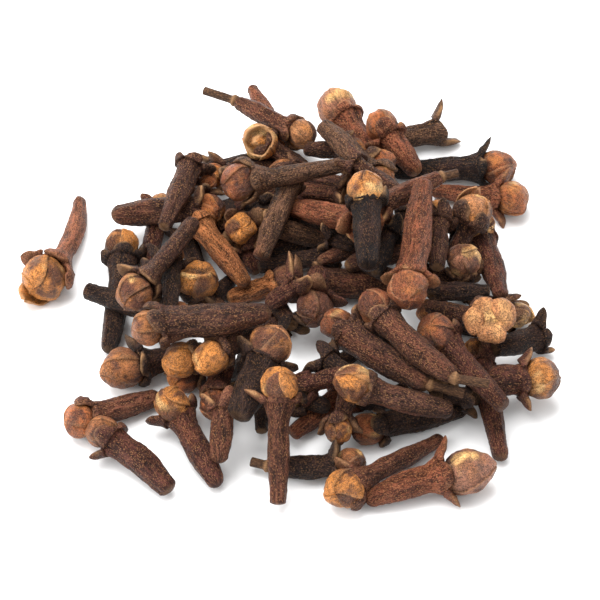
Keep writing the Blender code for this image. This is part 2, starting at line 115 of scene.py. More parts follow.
BESIDE = [
    Clove((-25.6, 2.2), (-22.1, 10.25), 2.35, 0.95, "rust", "gold", bow=-1.0, roll=0, parted=1,
          lobes="o.hs"),
]
BACK_FLOOR = [
    Clove((-1.9, 16.2), (-4.8, 21.2), 1.4, 0.8, "red", "orange"),
    Clove((0.2, 16.6), (-6.5, 19.95), 1.6, 1.0, "brown", "tan", roll=40, stalk=(-9.6, 20.95),
          lobes="hs.s"),
    Clove((-8.8, 13.1), (-2.5, 14.3), 1.1, 0.9, "black", roll=10, kind="bare"),
    Clove((-8.7, 12.5), (-1.5, 13.4), 1.3, 0.9, "dark", "orange", roll=0),
    Clove((-4.6, 16.2), (1.2, 12.8), 1.95, 1.0, "dark", "gold", roll=45, pale=0.4, lobes="s.ss", face=0.9,
          form="cup"),
    Clove((13.9, 16.9), (6.8, 15.6), 1.6, 1.15, "grey", roll=10, kind="bare", sepal=2.3, lobes="hsos"),
    Clove((19.7, 13.2), (9.3, 13.0), 1.9, 1.15, "jet_and_shade", "orange", roll=0, lobes="s.os"),
    Clove((21.3, 10.1), (13.2, 10.9), 1.9, 0.95, "red", "orange", roll=0, lobes="o.os"),
    Clove((3.8, 19.3), (8.8, 12.8), 2.1, 1.1, "red", "pink", roll=0, lobes="..ss", pale=0.2),
    Clove((8.2, 17.4), (11.8, 12.6), 1.8, 1.25, "red", "orange", roll=0, lobes="s.oh"),
    Clove((5.2, 15.0), (0.3, 15.0), 1.4, 0.9, "dark", "brown"),
    Clove((8.2, 13.7), (4.0, 11.5), 1.5, 1.0, "dark", "orange"),
    Clove((8.0, 11.8), (2.2, 17.6), 1.7, 1.2, "grey", "brown"),
    Clove((-1.8, 12.8), (4.3, 11.8), 1.4, 0.9, "dark", "brown"),
]
LEFT_FLOOR = [
    Clove((-17.8, 5.45), (-19.1, -5.3), 1.95, 1.15, "black", "gold", bow=0.3, roll=0, pale=0.25,
          lobes="h.ss"),
    Clove((-12.2, -1.9), (-21.6, 1.0), 1.8, 1.12, "black", "brown"),
    Clove((-12.8, 4.5), (-13.0, -1.5), 1.2, 0.9, "black", "brown"),
    Clove((-14.0, 9.6), (-15.3, 2.8), 1.3, 0.95, "plum", "gold", roll=45, pale=0.3),
    Clove((-9.3, 11.9), (-11.8, 9.0), 1.0, 0.8, "dark", "orange"),
    Clove((-8.8, 9.0), (-18.9, 8.5), 1.6, 1.4, "dark", "orange", bow=-0.2, roll=45, face=0.5),
    Clove((-17.6, -6.9), (-9.5, -4.9), 2.15, 1.2, "black", "brown", roll=0, lobes="o.ss", form="point"),
    Clove((-11.7, -7.8), (-8.0, -4.0), 1.6, 1.0, "dark", "orange"),
    Clove((-8.4, -10.5), (-7.2, -3.5), 1.7, 1.1, "plum", "orange", roll=0, lobes="s.ss"),
    Clove((-22.1, -12.1), (-14.0, -9.6), 1.8, 1.15, "brown", "orange", roll=0, lobes="h.ss"),
    Clove((-19.8, -13.2), (-12.9, -19.1), 1.6, 1.35, "plum", "brown", bow=0.2, roll=0, sepal=1.3,
          lobes="s.oh"),
    Clove((-12.9, -10.2), (-8.2, -18.6), 1.9, 1.2, "plum", "gold", bow=0.1, roll=10, pale=0.2,
          lobes="h.o.", face=0.6),
    Clove((-7.6, -10.8), (-8.15, -16.3), 1.3, 1.05, "brown", kind="bare"),
    scrap((-11.9, 7.2), (-10.2, 2.0), 1.0, 0.9),
    scrap((-9.2, -0.6), (-6.6, 2.4), 1.1, 0.85),
]
FRONT_FLOOR = [
    Clove((5.0, -16.3), (-3.2, -16.6), 1.6, 1.2, "black", "brown", bow=0.25, roll=45,
          stalk=(-4.9, -16.15), pale=0.3),
    Clove((5.0, -8.8), (-0.8, -13.5), 1.5, 1.15, "red", "brown"),
    Clove((-3.4, -6.5), (-3.9, -13.2), 1.3, 0.95, "black", "brown"),
    Clove((-0.3, -9.8), (3.0, -10.8), 1.2, 0.9, "black", "brown"),
    Clove((3.8, -13.2), (5.2, -7.5), 1.4, 1.0, "dark", "gold", pale=0.3, face=0.4),
    Clove((6.9, -12.9), (16.7, -10.6), 1.7, 1.25, "black", "red", roll=0, pale=0.15, lobes="s.sh"),
    Clove((17.7, -5.3), (20.15, -15.9), 1.7, 1.2, "plum", "gold", bow=0.05, roll=45, lobes="sssh"),
    Clove((16.4, -17.15), (6.5, -20.1), 2.4, 1.3, "red", "mauve", bow=-0.3, roll=0, lobes="o.os",
          form="point"),
    Clove((4.1, -19.0), (14.3, -13.8), 1.95, 0.95, "brown", "gold", roll=15, lobes="o.hs", face=0.5),
    scrap((16.8, -9.8), (13.0, -9.0), 1.1, 0.95),
    scrap((9.8, -10.2), (5.4, -10.9), 1.0, 0.85),
]
RIGHT_FLOOR = [
    Clove((24.1, -3.7), (19.2, -4.9), 1.8, 1.2, "black", roll=10, kind="bare", sepal=1.3, lobes="hoos"),
    Clove((24.0, -7.9), (18.6, -7.9), 2.1, 1.5, "plum", "gold", roll=0, pale=0.2, lobes="o.os"),
    Clove((21.7, -1.4), (17.0, 0.0), 1.4, 0.9, "dark", "cream", parted=1),
    Clove((17.8, 7.2), (20.1, 0.2), 1.8, 1.15, "plum", "gold", bow=0.1, roll=30, face=0.5, pale=0.4,
          lobes=".sss"),
    Clove((16.2, 1.7), (10.5, 3.5), 1.6, 1.0, "dark", roll=45, kind="bare"),
]
MIDDLE_FLOOR = [
    Clove((1.8, 1.8), (9.6, 1.3), 1.5, 1.5, "dark", kind="bare", lobes="s.s."),
    Clove((9.8, -3.5), (4.6, -1.9), 1.4, 0.9, "black", "brown"),
    Clove((13.0, -1.2), (18.5, -3.2), 1.4, 1.0, "black", "brown"),
    Clove((-4.2, 7.8), (2.8, 5.7), 1.5, 1.1, "grey", "orange"),
    Clove((-5.7, 5.8), (-4.3, 2.6), 1.2, 1.0, "plum", "brown"),
    Clove((3.2, 4.4), (-4.2, 3.3), 1.2, 0.9, "black", "brown"),
    Clove((7.5, 6.0), (1.8, 3.8), 1.2, 0.8, "dark", "brown"),
    Clove((11.2, 9.0), (8.6, 4.2), 1.2, 1.0, "black", "brown"),
    Clove((-1.5, 2.0), (-7.3, 0.1), 1.5, 1.0, "bright", "bark", lobes="...."),
    Clove((-1.8, -1.8), (-6.0, -3.0), 1.2, 0.8, "dark", "brown"),
    Clove((13.2, 5.2), (4.5, 3.3), 1.6, 1.2, "dark", "orange", bow=-0.4),
    scrap((13.6, 0.8), (19.0, 0.9), 1.1, 0.9),
    scrap((10.2, 1.9), (6.0, 3.6), 1.0, 0.8),
    scrap((6.6, -4.6), (3.0, -6.8), 1.0, 0.8),
    scrap((-6.6, -8.9), (-6.0, -4.4), 1.0, 0.8),
    scrap((-0.9, -2.4), (-3.0, 0.6), 1.1, 0.9),
    scrap((14.0, -8.2), (10.0, -5.2), 1.1, 0.9),
    scrap((15.3, 7.6), (14.9, 3.6), 1.0, 0.8),
    scrap((3.0, 6.3), (5.4, 5.3), 1.0, 0.8),
    scrap((-14.1, 2.8), (-13.9, -0.6), 1.0, 0.8),
]
SECOND_LAYER = [
    Clove((19.6, -2.0), (12.8, -0.7), 2.3, 1.0, "dark", "tan", roll=45, pale=0.5, lobes="s.ss", face=0.95,
          form="star"),
    Clove((13.9, 8.7), (13.7, 3.2), 1.5, 1.0, "dark", "gold"),
    Clove((17.0, 9.3), (14.7, 3.8), 1.9, 1.0, "dark", "tan", roll=45, parted=1, face=0.3),
    Clove((9.2, 7.4), (7.5, 2.5), 1.2, 0.9, "jet_and_shade", "brown"),
    Clove((5.6, 13.7), (10.2, 10.8), 1.3, 0.8, "dark", roll=45, kind="bare"),
    Clove((7.2, 9.2), (14.1, 12.3), 1.5, 1.1, "brown", "orange", stalk=(15.8, 12.7)),
    Clove((6.8, 7.8), (-0.7, 9.2), 1.8, 1.3, "red", "orange"),
    Clove((4.3, 10.5), (-3.6, 11.2), 1.3, 0.95, "dark", roll=30, kind="bare"),
    Clove((-12.0, -6.0), (-6.5, -4.7), 1.8, 1.0, "dark", "gold", roll=45, lobes="ssss"),
    Clove((-9.0, -5.8), (-3.8, -2.5), 1.8, 1.1, "dark", "gold", roll=0, pale=0.2, lobes="s.ss"),
    Clove((1.4, -1.0), (1.9, 3.2), 1.9, 1.3, "plum", "bark", roll=0, lobes="o.oc", face=0.3),
    Clove((-0.2, 1.6), (-3.4, -0.6), 1.3, 1.0, "plum", roll=20, kind="bare", sepal=2.6, lobes="oooo"),
    Clove((2.6, -6.0), (7.5, -9.2), 1.6, 1.0, "black", roll=45, kind="bare"),
    Clove((1.0, -8.4), (4.5, -7.2), 1.5, 0.9, "plum", roll=10, kind="bare"),
    Clove((15.9, 4.8), (16.2, 1.5), 1.8, 1.0, "dark", "pink", roll=10, rise=4.0, pale=0.3, lobes="ssss",
          face=0.6),
    Clove((-6.0, 7.1), (-5.2, 7.6), 1.6, 1.0, "dark", "gold", roll=0, rise=5.0, pale=0.1, face=1.0,
          form="square"),
    Clove((-2.9, -4.6), (-6.2, -11.8), 2.2, 1.6, "black", "tan", roll=0, lobes="o.o.", face=0.5),
]
TOP_LAYER = [
    Clove((5.2, -8.3), (15.3, -11.0), 1.9, 1.2, "dark", "gold", bow=-0.3, roll=45, pale=0.45,
          lobes="ssss", face=0.3),
    Clove((3.7, -3.0), (13.0, -9.1), 1.7, 1.45, "dark", "red", bow=-0.3, roll=0, stalk=(16.4, -9.4),
          lobes="o.os"),
    Clove((13.4, -3.2), (20.4, -10.7), 2.1, 1.2, "plum", "red", roll=0, lobes="h.s.", face=0.6),
    Clove((7.6, -0.7), (15.4, -7.8), 1.8, 1.35, "dark", "red", bow=-0.4, roll=0, sepal=2.1,
          stalk=(18.9, -8.4), lobes="osss"),
    Clove((-2.0, -8.2), (-2.2, -20.5), 2.0, 1.05, "brown", "gold", roll=0, pale=0.2, lobes="s.os",
          face=0.5),
    Clove((6.5, 11.0), (6.8, 3.2), 1.9, 1.35, "jet_and_shade", "gold", roll=0, pale=0.5, lobes="h.s.", face=0.5),
    Clove((-1.0, 11.8), (-3.8, 4.2), 1.5, 1.15, "grey", roll=30, kind="bare", lobes="ssss"),
    Clove((-6.2, 11.8), (4.3, 13.4), 2.0, 1.0, "grey", "red", roll=0, lobes="h.hs", form="square"),
    Clove((-10.9, 13.6), (-13.6, 7.2), 1.5, 1.1, "dark", roll=0, kind="bare", sepal=1.4, lobes="o.ss"),
    Clove((-10.0, 7.6), (-5.3, 1.5), 1.5, 1.2, "bright", roll=30, kind="bare", lobes="ssss"),
    Clove((-10.7, 2.3), (-12.0, -0.3), 2.2, 1.3, "dark", "gold", roll=0, rise=3.0, pale=0.3, lobes="o.hs",
          face=0.6, form="fold"),
    Clove((-16.5, 0.7), (-10.4, 8.0), 2.0, 1.0, "dark", "brown", roll=0, lobes="o.ss"),
    Clove((-15.2, -2.7), (-2.9, -1.3), 1.9, 1.6, "dark", "brown", roll=10, lobes="h.sh"),
    Clove((10.9, 0.8), (12.4, 11.8), 2.1, 1.35, "red", "red", roll=0, sepal=1.2, lobes="o.os", face=0.4),
]
HEAP = (
    BACK_FLOOR
    + LEFT_FLOOR
    + FRONT_FLOOR
    + RIGHT_FLOOR
    + MIDDLE_FLOOR
    + SECOND_LAYER
    + TOP_LAYER
)
CORE_LUMPS = [
    ((-4.0, 9.5), (7.0, 4.5), 2.4),
    ((5.0, 11.5), (3.5, 4.0), 2.4),
]

# How far the skins' patterns are spread for the cloves to draw their own place in.
PATTERN_REACH = 90
# What is added to a clove's seed for each part of it, so that its parts differ.
BARE_SEED = 300
SEPAL_SEED = 500
STALK_SEED = 700
BUD_SEED = 900

# How a clove settles on the others, as in the solids.
STEM_BEADS = (0.05, 0.85, 8)
STALK_BEADS = (0.4, 0.9)
STALK_RADIUS = 0.45
BARE_HEAD = 1.25
END_THICKNESS = 0.74
MORE_THICKNESS = 0.30
SINK = 0.4
START_HEIGHT = 22.0
NUDGE = 0.6
NUDGE_WAYS = 8
NUDGE_PRICE = 2.5
COARSE_STEP = 0.6
FINE_STEP = 0.1
SETTLE_ROUNDS = 4
STEEPEST = math.radians(38)
CALYX_BELOW_BUD = 0.75


def on_sight_line(place, height):
    """The point at this height that is seen at this place of the view."""
    seen = place[0] * VIEW_RIGHT + place[1] * VIEW_UP
    share = (EYE[2] - height) / (EYE[2] - seen[2])
    return EYE + (seen - EYE) * share


class Spine:
    """A clove's middle line, from the stem's end through the bud's middle."""

    def __init__(self, shape, end_height, bud_height):
        self.end = on_sight_line(shape.end, end_height)
        self.bud = on_sight_line(shape.bud, bud_height)
        along = self.bud - self.end
        self.length = float(np.linalg.norm(along))
        side = np.cross(VIEW_FORWARD, along / self.length)
        side /= max(np.linalg.norm(side), 1e-9)
        self.bend = (self.end + self.bud) / 2 + side * shape.bow * 2

    def point(self, share):
        """Position at this share of the length. Past 1 it goes straight on."""
        if share > 1:
            return self.bud + self.direction(1) * (share - 1) * self.length
        rest = 1 - share
        return rest * rest * self.end + 2 * rest * share * self.bend + share * share * self.bud

    def direction(self, share):
        share = min(share, 1)
        slope = (1 - share) * (self.bend - self.end) + share * (self.bud - self.bend)
        return slope / np.linalg.norm(slope)


def thickness(share):
    """The stem's radius as a share of its widest, from its end to the calyx."""
    return END_THICKNESS + MORE_THICKNESS * math.sin(math.pi * (0.15 + 0.75 * share))


def beads(shape, spine):
    """Balls along the clove that stand for it while it settles: centres, radii."""
    shares = np.linspace(*STEM_BEADS)
    centres = [spine.point(s) for s in shares]
    radii = [shape.stem_r * thickness(s) for s in shares]
    centres.append(spine.bud)
    radii.append(shape.bud_r if shape.kind == "bud" else shape.stem_r * BARE_HEAD)
    if shape.stalk:
        tip = on_sight_line(shape.stalk, spine.end[2])
        for share in STALK_BEADS:
            centres.append(spine.end + (tip - spine.end) * share)
            radii.append(STALK_RADIUS)
    return np.array(centres), np.array(radii)


def core_height(centres):
    """Height of the core under each of these points."""
    height = np.zeros(len(centres))
    for middle, radius, top in CORE_LUMPS:
        away = ((centres[:, 0] - middle[0]) / radius[0]) ** 2
        away += ((centres[:, 1] - middle[1]) / radius[1]) ** 2
        height = np.maximum(height, top * np.sqrt(np.clip(1 - away, 0, 1)))
    return height


def is_free(centres, radii, others):
    """Whether these balls clear the floor, the core and the other balls."""
    under = core_height(centres)
    lift = np.where(under > 0, under - SINK, 0)
    if (centres[:, 2] - radii < lift).any():
        return False
    if not len(others[0]):
        return True
    gaps = np.linalg.norm(centres[:, None, :] - others[0][None, :, :], axis=2)
    return bool((gaps > radii[:, None] + others[1][None, :] - SINK).all())


def settle(shape, others):
    """The lowest place that a clove finds on the others, close to where it is seen."""
    best, least = None, math.inf
    for step in range(NUDGE_WAYS + 1):
        turn = 2 * math.pi * step / NUDGE_WAYS
        reach = NUDGE if step < NUDGE_WAYS else 0
        nudge = reach * math.cos(turn), reach * math.sin(turn)
        moved = shape._replace(
            bud=(shape.bud[0] + nudge[0], shape.bud[1] + nudge[1]),
            end=(shape.end[0] + nudge[0], shape.end[1] + nudge[1]),
        )
        spine = lower(moved, others)
        cost = (spine.bud[2] + spine.end[2]) / 2 + reach * NUDGE_PRICE
        if cost < least:
            best, least = spine, cost
    return best


def lower(shape, others):
    """Lowers one clove along the line of sight until it rests, and gives its spine."""
    low_end, low_bud = shape.stem_r * 0.8, shape.bud_r

    def fits(end_height, bud_height):
        if end_height < low_end or bud_height < low_bud:
            return False
        spine = Spine(shape, end_height, bud_height)
        if abs(bud_height - end_height) > spine.length * math.sin(STEEPEST):
            return False
        return is_free(*beads(shape, spine), others)

    if shape.rise is not None:
        height = START_HEIGHT

        def bud_fits(bud_height):
            centre = on_sight_line(shape.bud, bud_height)[None, :]
            return bud_height >= low_bud and is_free(centre, np.array([shape.bud_r]), others)

        while bud_fits(height - FINE_STEP):
            height -= FINE_STEP
        return Spine(shape, max(low_end, height - shape.rise), height)

    end_height = bud_height = START_HEIGHT
    for step in (COARSE_STEP, FINE_STEP):
        while fits(end_height - step, bud_height - step):
            end_height -= step
            bud_height -= step
    # First its bud sinks, then its end, then both.
    drops = ((0, FINE_STEP), (FINE_STEP, 0), (FINE_STEP, FINE_STEP))
    for end_drop, bud_drop in drops * SETTLE_ROUNDS:
        while fits(end_height - end_drop, bud_height - bud_drop):
            end_height -= end_drop
            bud_height -= bud_drop
    return Spine(shape, end_height, bud_height)


def settle_all(shapes):
    """The spine of each clove, once each has come to rest on those before it."""
    centres, radii, spines = np.zeros((0, 3)), np.zeros(0), []
    for shape in shapes:
        spine = settle(shape, (centres, radii))
        more, their_radii = beads(shape, spine)
        centres = np.vstack([centres, more])
        radii = np.concatenate([radii, their_radii])
        spines.append(spine)
    return spines


def linear(colour):
    """A colour given as 0 to 255 on screen, as the linear values that shaders use."""
    share = np.asarray(colour, float) / 255
    return np.where(share <= 0.04045, share / 12.92, ((share + 0.055) / 1.055) ** 2.4)


def mixed(tone, colour, share):
    """Linear tones with this share of a colour, given as 0 to 255, mixed in."""
    return tone * (1 - share[..., None]) + linear(colour) * share[..., None]


def noise(points, seed):
    """Smooth noise from -1 to 1, with about one lump to each unit of the points."""
    cell = np.floor(points)
    part = points - cell
    part = part * part * (3 - 2 * part)
    total = np.zeros(points.shape[:-1])
    for corner in itertools.product((0, 1), repeat=3):
        at = cell + corner
        dots = at[..., 0] * 127.1 + at[..., 1] * 311.7 + at[..., 2] * 74.7 + seed * 19.19
        chance = np.modf(np.abs(np.sin(dots) * 43758.5453))[0]
        weight = np.ones(points.shape[:-1])
        for axis in range(3):
            weight = weight * (part[..., axis] if corner[axis] else 1 - part[..., axis])
        total += weight * (chance * 2 - 1)
    return total


def smooth(value, low, high):
    """0 below low, 1 above high and an even curve between them."""
    share = np.clip((value - low) / (high - low), 0, 1)
    return share * share * (3 - 2 * share)


def round_turns(count):
    """This many even turns round a circle."""
    return np.arange(count) * 2 * math.pi / count


def on_ball(latitude, angles):
    """Points of a ball of radius 1 at these latitudes, each with these angles."""
    angles = np.broadcast_to(angles, (len(latitude), angles.shape[-1]))
    flat = np.cos(latitude)[:, None]
    height = np.broadcast_to(np.sin(latitude)[:, None], angles.shape)
    return np.stack([flat * np.cos(angles), flat * np.sin(angles), height], axis=-1)


def on_tube(angles, runs, radius):
    """Points of a straight tube of this radius: rings at these runs along it."""
    columns = np.cos(angles) * radius, np.sin(angles) * radius, runs[:, None]
    rings = [np.broadcast_to(column, (len(runs), len(angles))) for column in columns]
    return np.stack(rings, axis=-1)


def set_out(middle, side, across, along, local):
    """Points given by how far they lie to the side, across and along from a middle."""
    return middle + local[..., 0:1] * side + local[..., 1:2] * across + local[..., 2:3] * along


def own_place(points, chance):
    """A part's own place in the pattern of its skin, so that no two parts look alike."""
    return points + [chance.uniform(0, PATTERN_REACH) for _ in range(3)]


class Pile:
    """Sleeves of points that are gathered, then made into one mesh."""

    def __init__(self):
        self.points, self.tones, self.places, self.marks = [], [], [], []
        self.quads, self.fans = [], []
        self.count = 0

    def add_sleeve(self, points, places, tone, pale, dark):
        """Adds rings of points (ring, place round it, xyz) as a closed skin.

        places are the skin's own coordinates for its pattern. pale marks the points that are
        lighter than the tone, on the buds' petal lips as a painted highlight, and dark marks
        the points that are darkened with painted shade.
        """
        rings, around = points.shape[:2]
        size = rings * around
        points = points.copy()
        points[..., 2] = np.maximum(points[..., 2], FLOOR_GAP)
        tone = np.broadcast_to(tone, points.shape)
        pale = np.broadcast_to(pale, points.shape[:2])
        dark = np.broadcast_to(dark, points.shape[:2])
        index = np.arange(size).reshape(rings, around) + self.count
        right = np.roll(index, -1, axis=1)
        quads = np.stack([index[:-1], right[:-1], right[1:], index[1:]], axis=-1)
        first, last = self.count + size, self.count + size + 1
        start = np.stack([right[0], index[0], np.full(around, first)], axis=-1)
        finish = np.stack([index[-1], right[-1], np.full(around, last)], axis=-1)
        marks = np.stack([pale, dark], axis=-1)
        for store, values, width in (
            (self.points, points, 3),
            (self.places, places, 3),
            (self.tones, tone, 3),
            (self.marks, marks, 2),
        ):
            store.append(values.reshape(-1, width))
            store.append(np.array([values[0].mean(0), values[-1].mean(0)]))
        self.quads.append(quads.reshape(-1, 4))
        self.fans.append(np.concatenate([start, finish]))
        self.count += size + 2

    def build(self, name, material):
        """One mesh object of all that was gathered, in the frame's metres."""
        points = (np.concatenate(self.points) + VIEW_MIDDLE) * MM
        quads, fans = np.concatenate(self.quads), np.concatenate(self.fans)
        mesh = bpy.data.meshes.new(name)
        mesh.vertices.add(len(points))
        mesh.vertices.foreach_set("co", points.ravel())
        corners = np.concatenate([quads.ravel(), fans.ravel()])
        mesh.loops.add(len(corners))
        mesh.loops.foreach_set("vertex_index", corners.astype(np.int32))
        starts = np.concatenate(
            [np.arange(len(quads)) * 4, len(quads) * 4 + np.arange(len(fans)) * 3]
        )
        mesh.polygons.add(len(starts))
        mesh.polygons.foreach_set("loop_start", starts.astype(np.int32))
        mesh.polygons.foreach_set("use_smooth", np.ones(len(starts), bool))
        tones, marks = np.concatenate(self.tones), np.concatenate(self.marks)
        one = np.ones((len(points), 1))
        add_attribute(mesh, "tone", "FLOAT_COLOR", "color", np.hstack([tones, one]))
        add_attribute(mesh, "marks", "FLOAT_COLOR", "color", np.hstack([marks, one, one]))
        add_attribute(mesh, "place", "FLOAT_VECTOR", "vector", np.concatenate(self.places))
        mesh.update(calc_edges=True)
        mesh.validate()
        mesh.materials.append(material)
        made = bpy.data.objects.new(name, mesh)
        bpy.context.scene.collection.objects.link(made)
        return made


def add_attribute(mesh, name, kind, field, values):
    """Gives each point of a mesh its own value of this name."""
    attribute = mesh.attributes.new(name, kind, "POINT")
    attribute.data.foreach_set(field, values.ravel().astype(np.float32))


def frames_along(spine, shares):
    """Middle, direction, side and across of the spine at each share of its length."""
    start = np.cross(VIEW_FORWARD, spine.direction(0.5))
    start /= max(np.linalg.norm(start), 1e-9)
    rows = []
    for share in shares:
        along = spine.direction(share)
        side = start - along * np.dot(start, along)
        side /= np.linalg.norm(side)
        rows.append((spine.point(share), along, side, np.cross(along, side)))
    return [np.array(column) for column in zip(*rows)]


def ring_around(frames, angles, radii, lifts=0.0):
    """Rings of points at these angles and radii round the frames, lifted along them."""
    middle, along, side, across = frames
    turns = np.broadcast_to(angles, radii.shape)
    lifts = np.broadcast_to(lifts, radii.shape)
    return (
        middle[:, None, :]
        + side[:, None, :] * (np.cos(turns) * radii)[..., None]
        + across[:, None, :] * (np.sin(turns) * radii)[..., None]
        + along[:, None, :] * lifts[..., None]
    )


def calyx_share(shape, spine):
    """Where along the spine the stem ends in its calyx."""
    return 1 - (CALYX_BELOW_BUD * shape.bud_r if shape.kind == "bud" else 0.0) / spine.length


def calyx_radius(shape):
    """The radius of the cup that the bud sits in, or that a lost bud sat in."""
    if shape.kind == "bud":
        return max(shape.stem_r * 1.15, shape.bud_r * 0.82)
    return shape.stem_r * 1.2


STEM_ROUND = 36
STEM_RINGS = 54
BLUNT_RINGS = 6
# The stem's radius as a share of its widest: at its end, what it gains by the middle and
# what it loses in the neck under the calyx.
END_WIDTH = 0.74
WIDTH_GAIN = 0.28
NECK_LOSS = 0.06
# The rings in over the calyx: their radius as a share, and their lift in millimetres.
CLOSING_SHARES = (0.93, 0.8, 0.4)
CLOSING_LIFTS = (0.16, 0.1, -0.2)
# How high the stem's lumps, its long folds and creases, and its pebbly grain stand.
LUMPS = 0.13
FOLDS = 0.11
CREASES = 0.13
PEBBLES = 0.04


def add_stem(pile, shape, spine, seed):
    """The wrinkled stem, from its blunt end up to the calyx that the bud sits in."""
    chance = random.Random(seed)
    calyx = calyx_share(shape, spine)
    length = calyx * spine.length
    # Rings over the blunt end, along the stem, then in over the calyx.
    end_turns = np.linspace(0.12, 1, BLUNT_RINGS) * math.pi / 2
    blunt = chance.uniform(0.2, 0.8) * shape.stem_r
    along = np.linspace(blunt / length, 1, STEM_RINGS)[1:]
    share = np.concatenate([(1 - np.cos(end_turns)) * blunt / length, along, np.ones(3)])
    closing = np.concatenate([np.sin(end_turns), np.ones(len(along)), CLOSING_SHARES])
    lift = np.concatenate([np.zeros(len(share) - 3), CLOSING_LIFTS])
    width = END_WIDTH + WIDTH_GAIN * smooth(share, 0, 0.5) - NECK_LOSS * smooth(share, 0.6, 0.82)
    flare = smooth(share, 0.74, 1.0) ** 1.2
    width = width * (1 - flare) + calyx_radius(shape) / shape.stem_r * flare
    angles = round_turns(STEM_ROUND)
    frames = frames_along(spine, share * calyx)
    roll = math.radians(shape.roll)
    square = 1 + 0.06 * smooth(share, 0.35, 0.9)[:, None] * np.cos(4 * (angles - roll))
    radii = shape.stem_r * width[:, None] * square
    run = share * length + lift
    place = own_place(on_tube(angles, run, shape.stem_r), chance)
    lumps = noise(place * (0.45, 0.45, 0.30), 1) * LUMPS
    folds = noise(place * (1.7, 1.7, 0.30), 2) * FOLDS
    folds -= CREASES * np.abs(noise(place * (2.1, 2.1, 0.34), 3))
    pebbles = noise(place * 3.2, 4) * PEBBLES
    relief = (lumps + folds + pebbles) * closing[:, None] * (0.75 + 0.25 * shape.stem_r)
    points = ring_around(frames, angles, (radii + relief) * closing[:, None], lift[:, None])
    tone = linear(SKINS[shape.skin]) * (1 + 0.22 * noise(place * 0.5, 5)[..., None])
    rusty = smooth(noise(place * (0.5, 0.5, 0.25), 6), 0.1, 0.7)
    tone = mixed(tone, SKINS["red"], rusty * (0.1 if shape.skin in ("jet_and_shade", "black") else 0.35))
    cut = smooth(closing[:, None], 0.9, 0.6) * (share < 0.5)[:, None]
    pale = cut * chance.choice((0.0, 0.06, 0.12, 0.25))
    # Painted shade: darker inside the calyx cup and in the stem's creases.
    calyx_cup_shade = np.concatenate([np.zeros(len(run) - 2), (0.6, 1.0)])[:, None]
    dark = np.maximum(smooth(-pebbles - folds, 0.03, 0.15) * 0.6, calyx_cup_shade)
    pile.add_sleeve(points, place, tone, pale, dark)


# For each letter the sepal's lean out from the clove's axis at its root, how much more
# it leans at its tip, and its length as a share of the usual.
LOBES = {
    "o": (0.85, 0.35, 1.0),
    "h": (0.2, 0.0, 0.95),
    "c": (1.0, 1.3, 1.1),
    "s": (0.5, 0.2, 0.5),
}
SEPAL_ROWS = 12
SEPAL_ROUND = 14


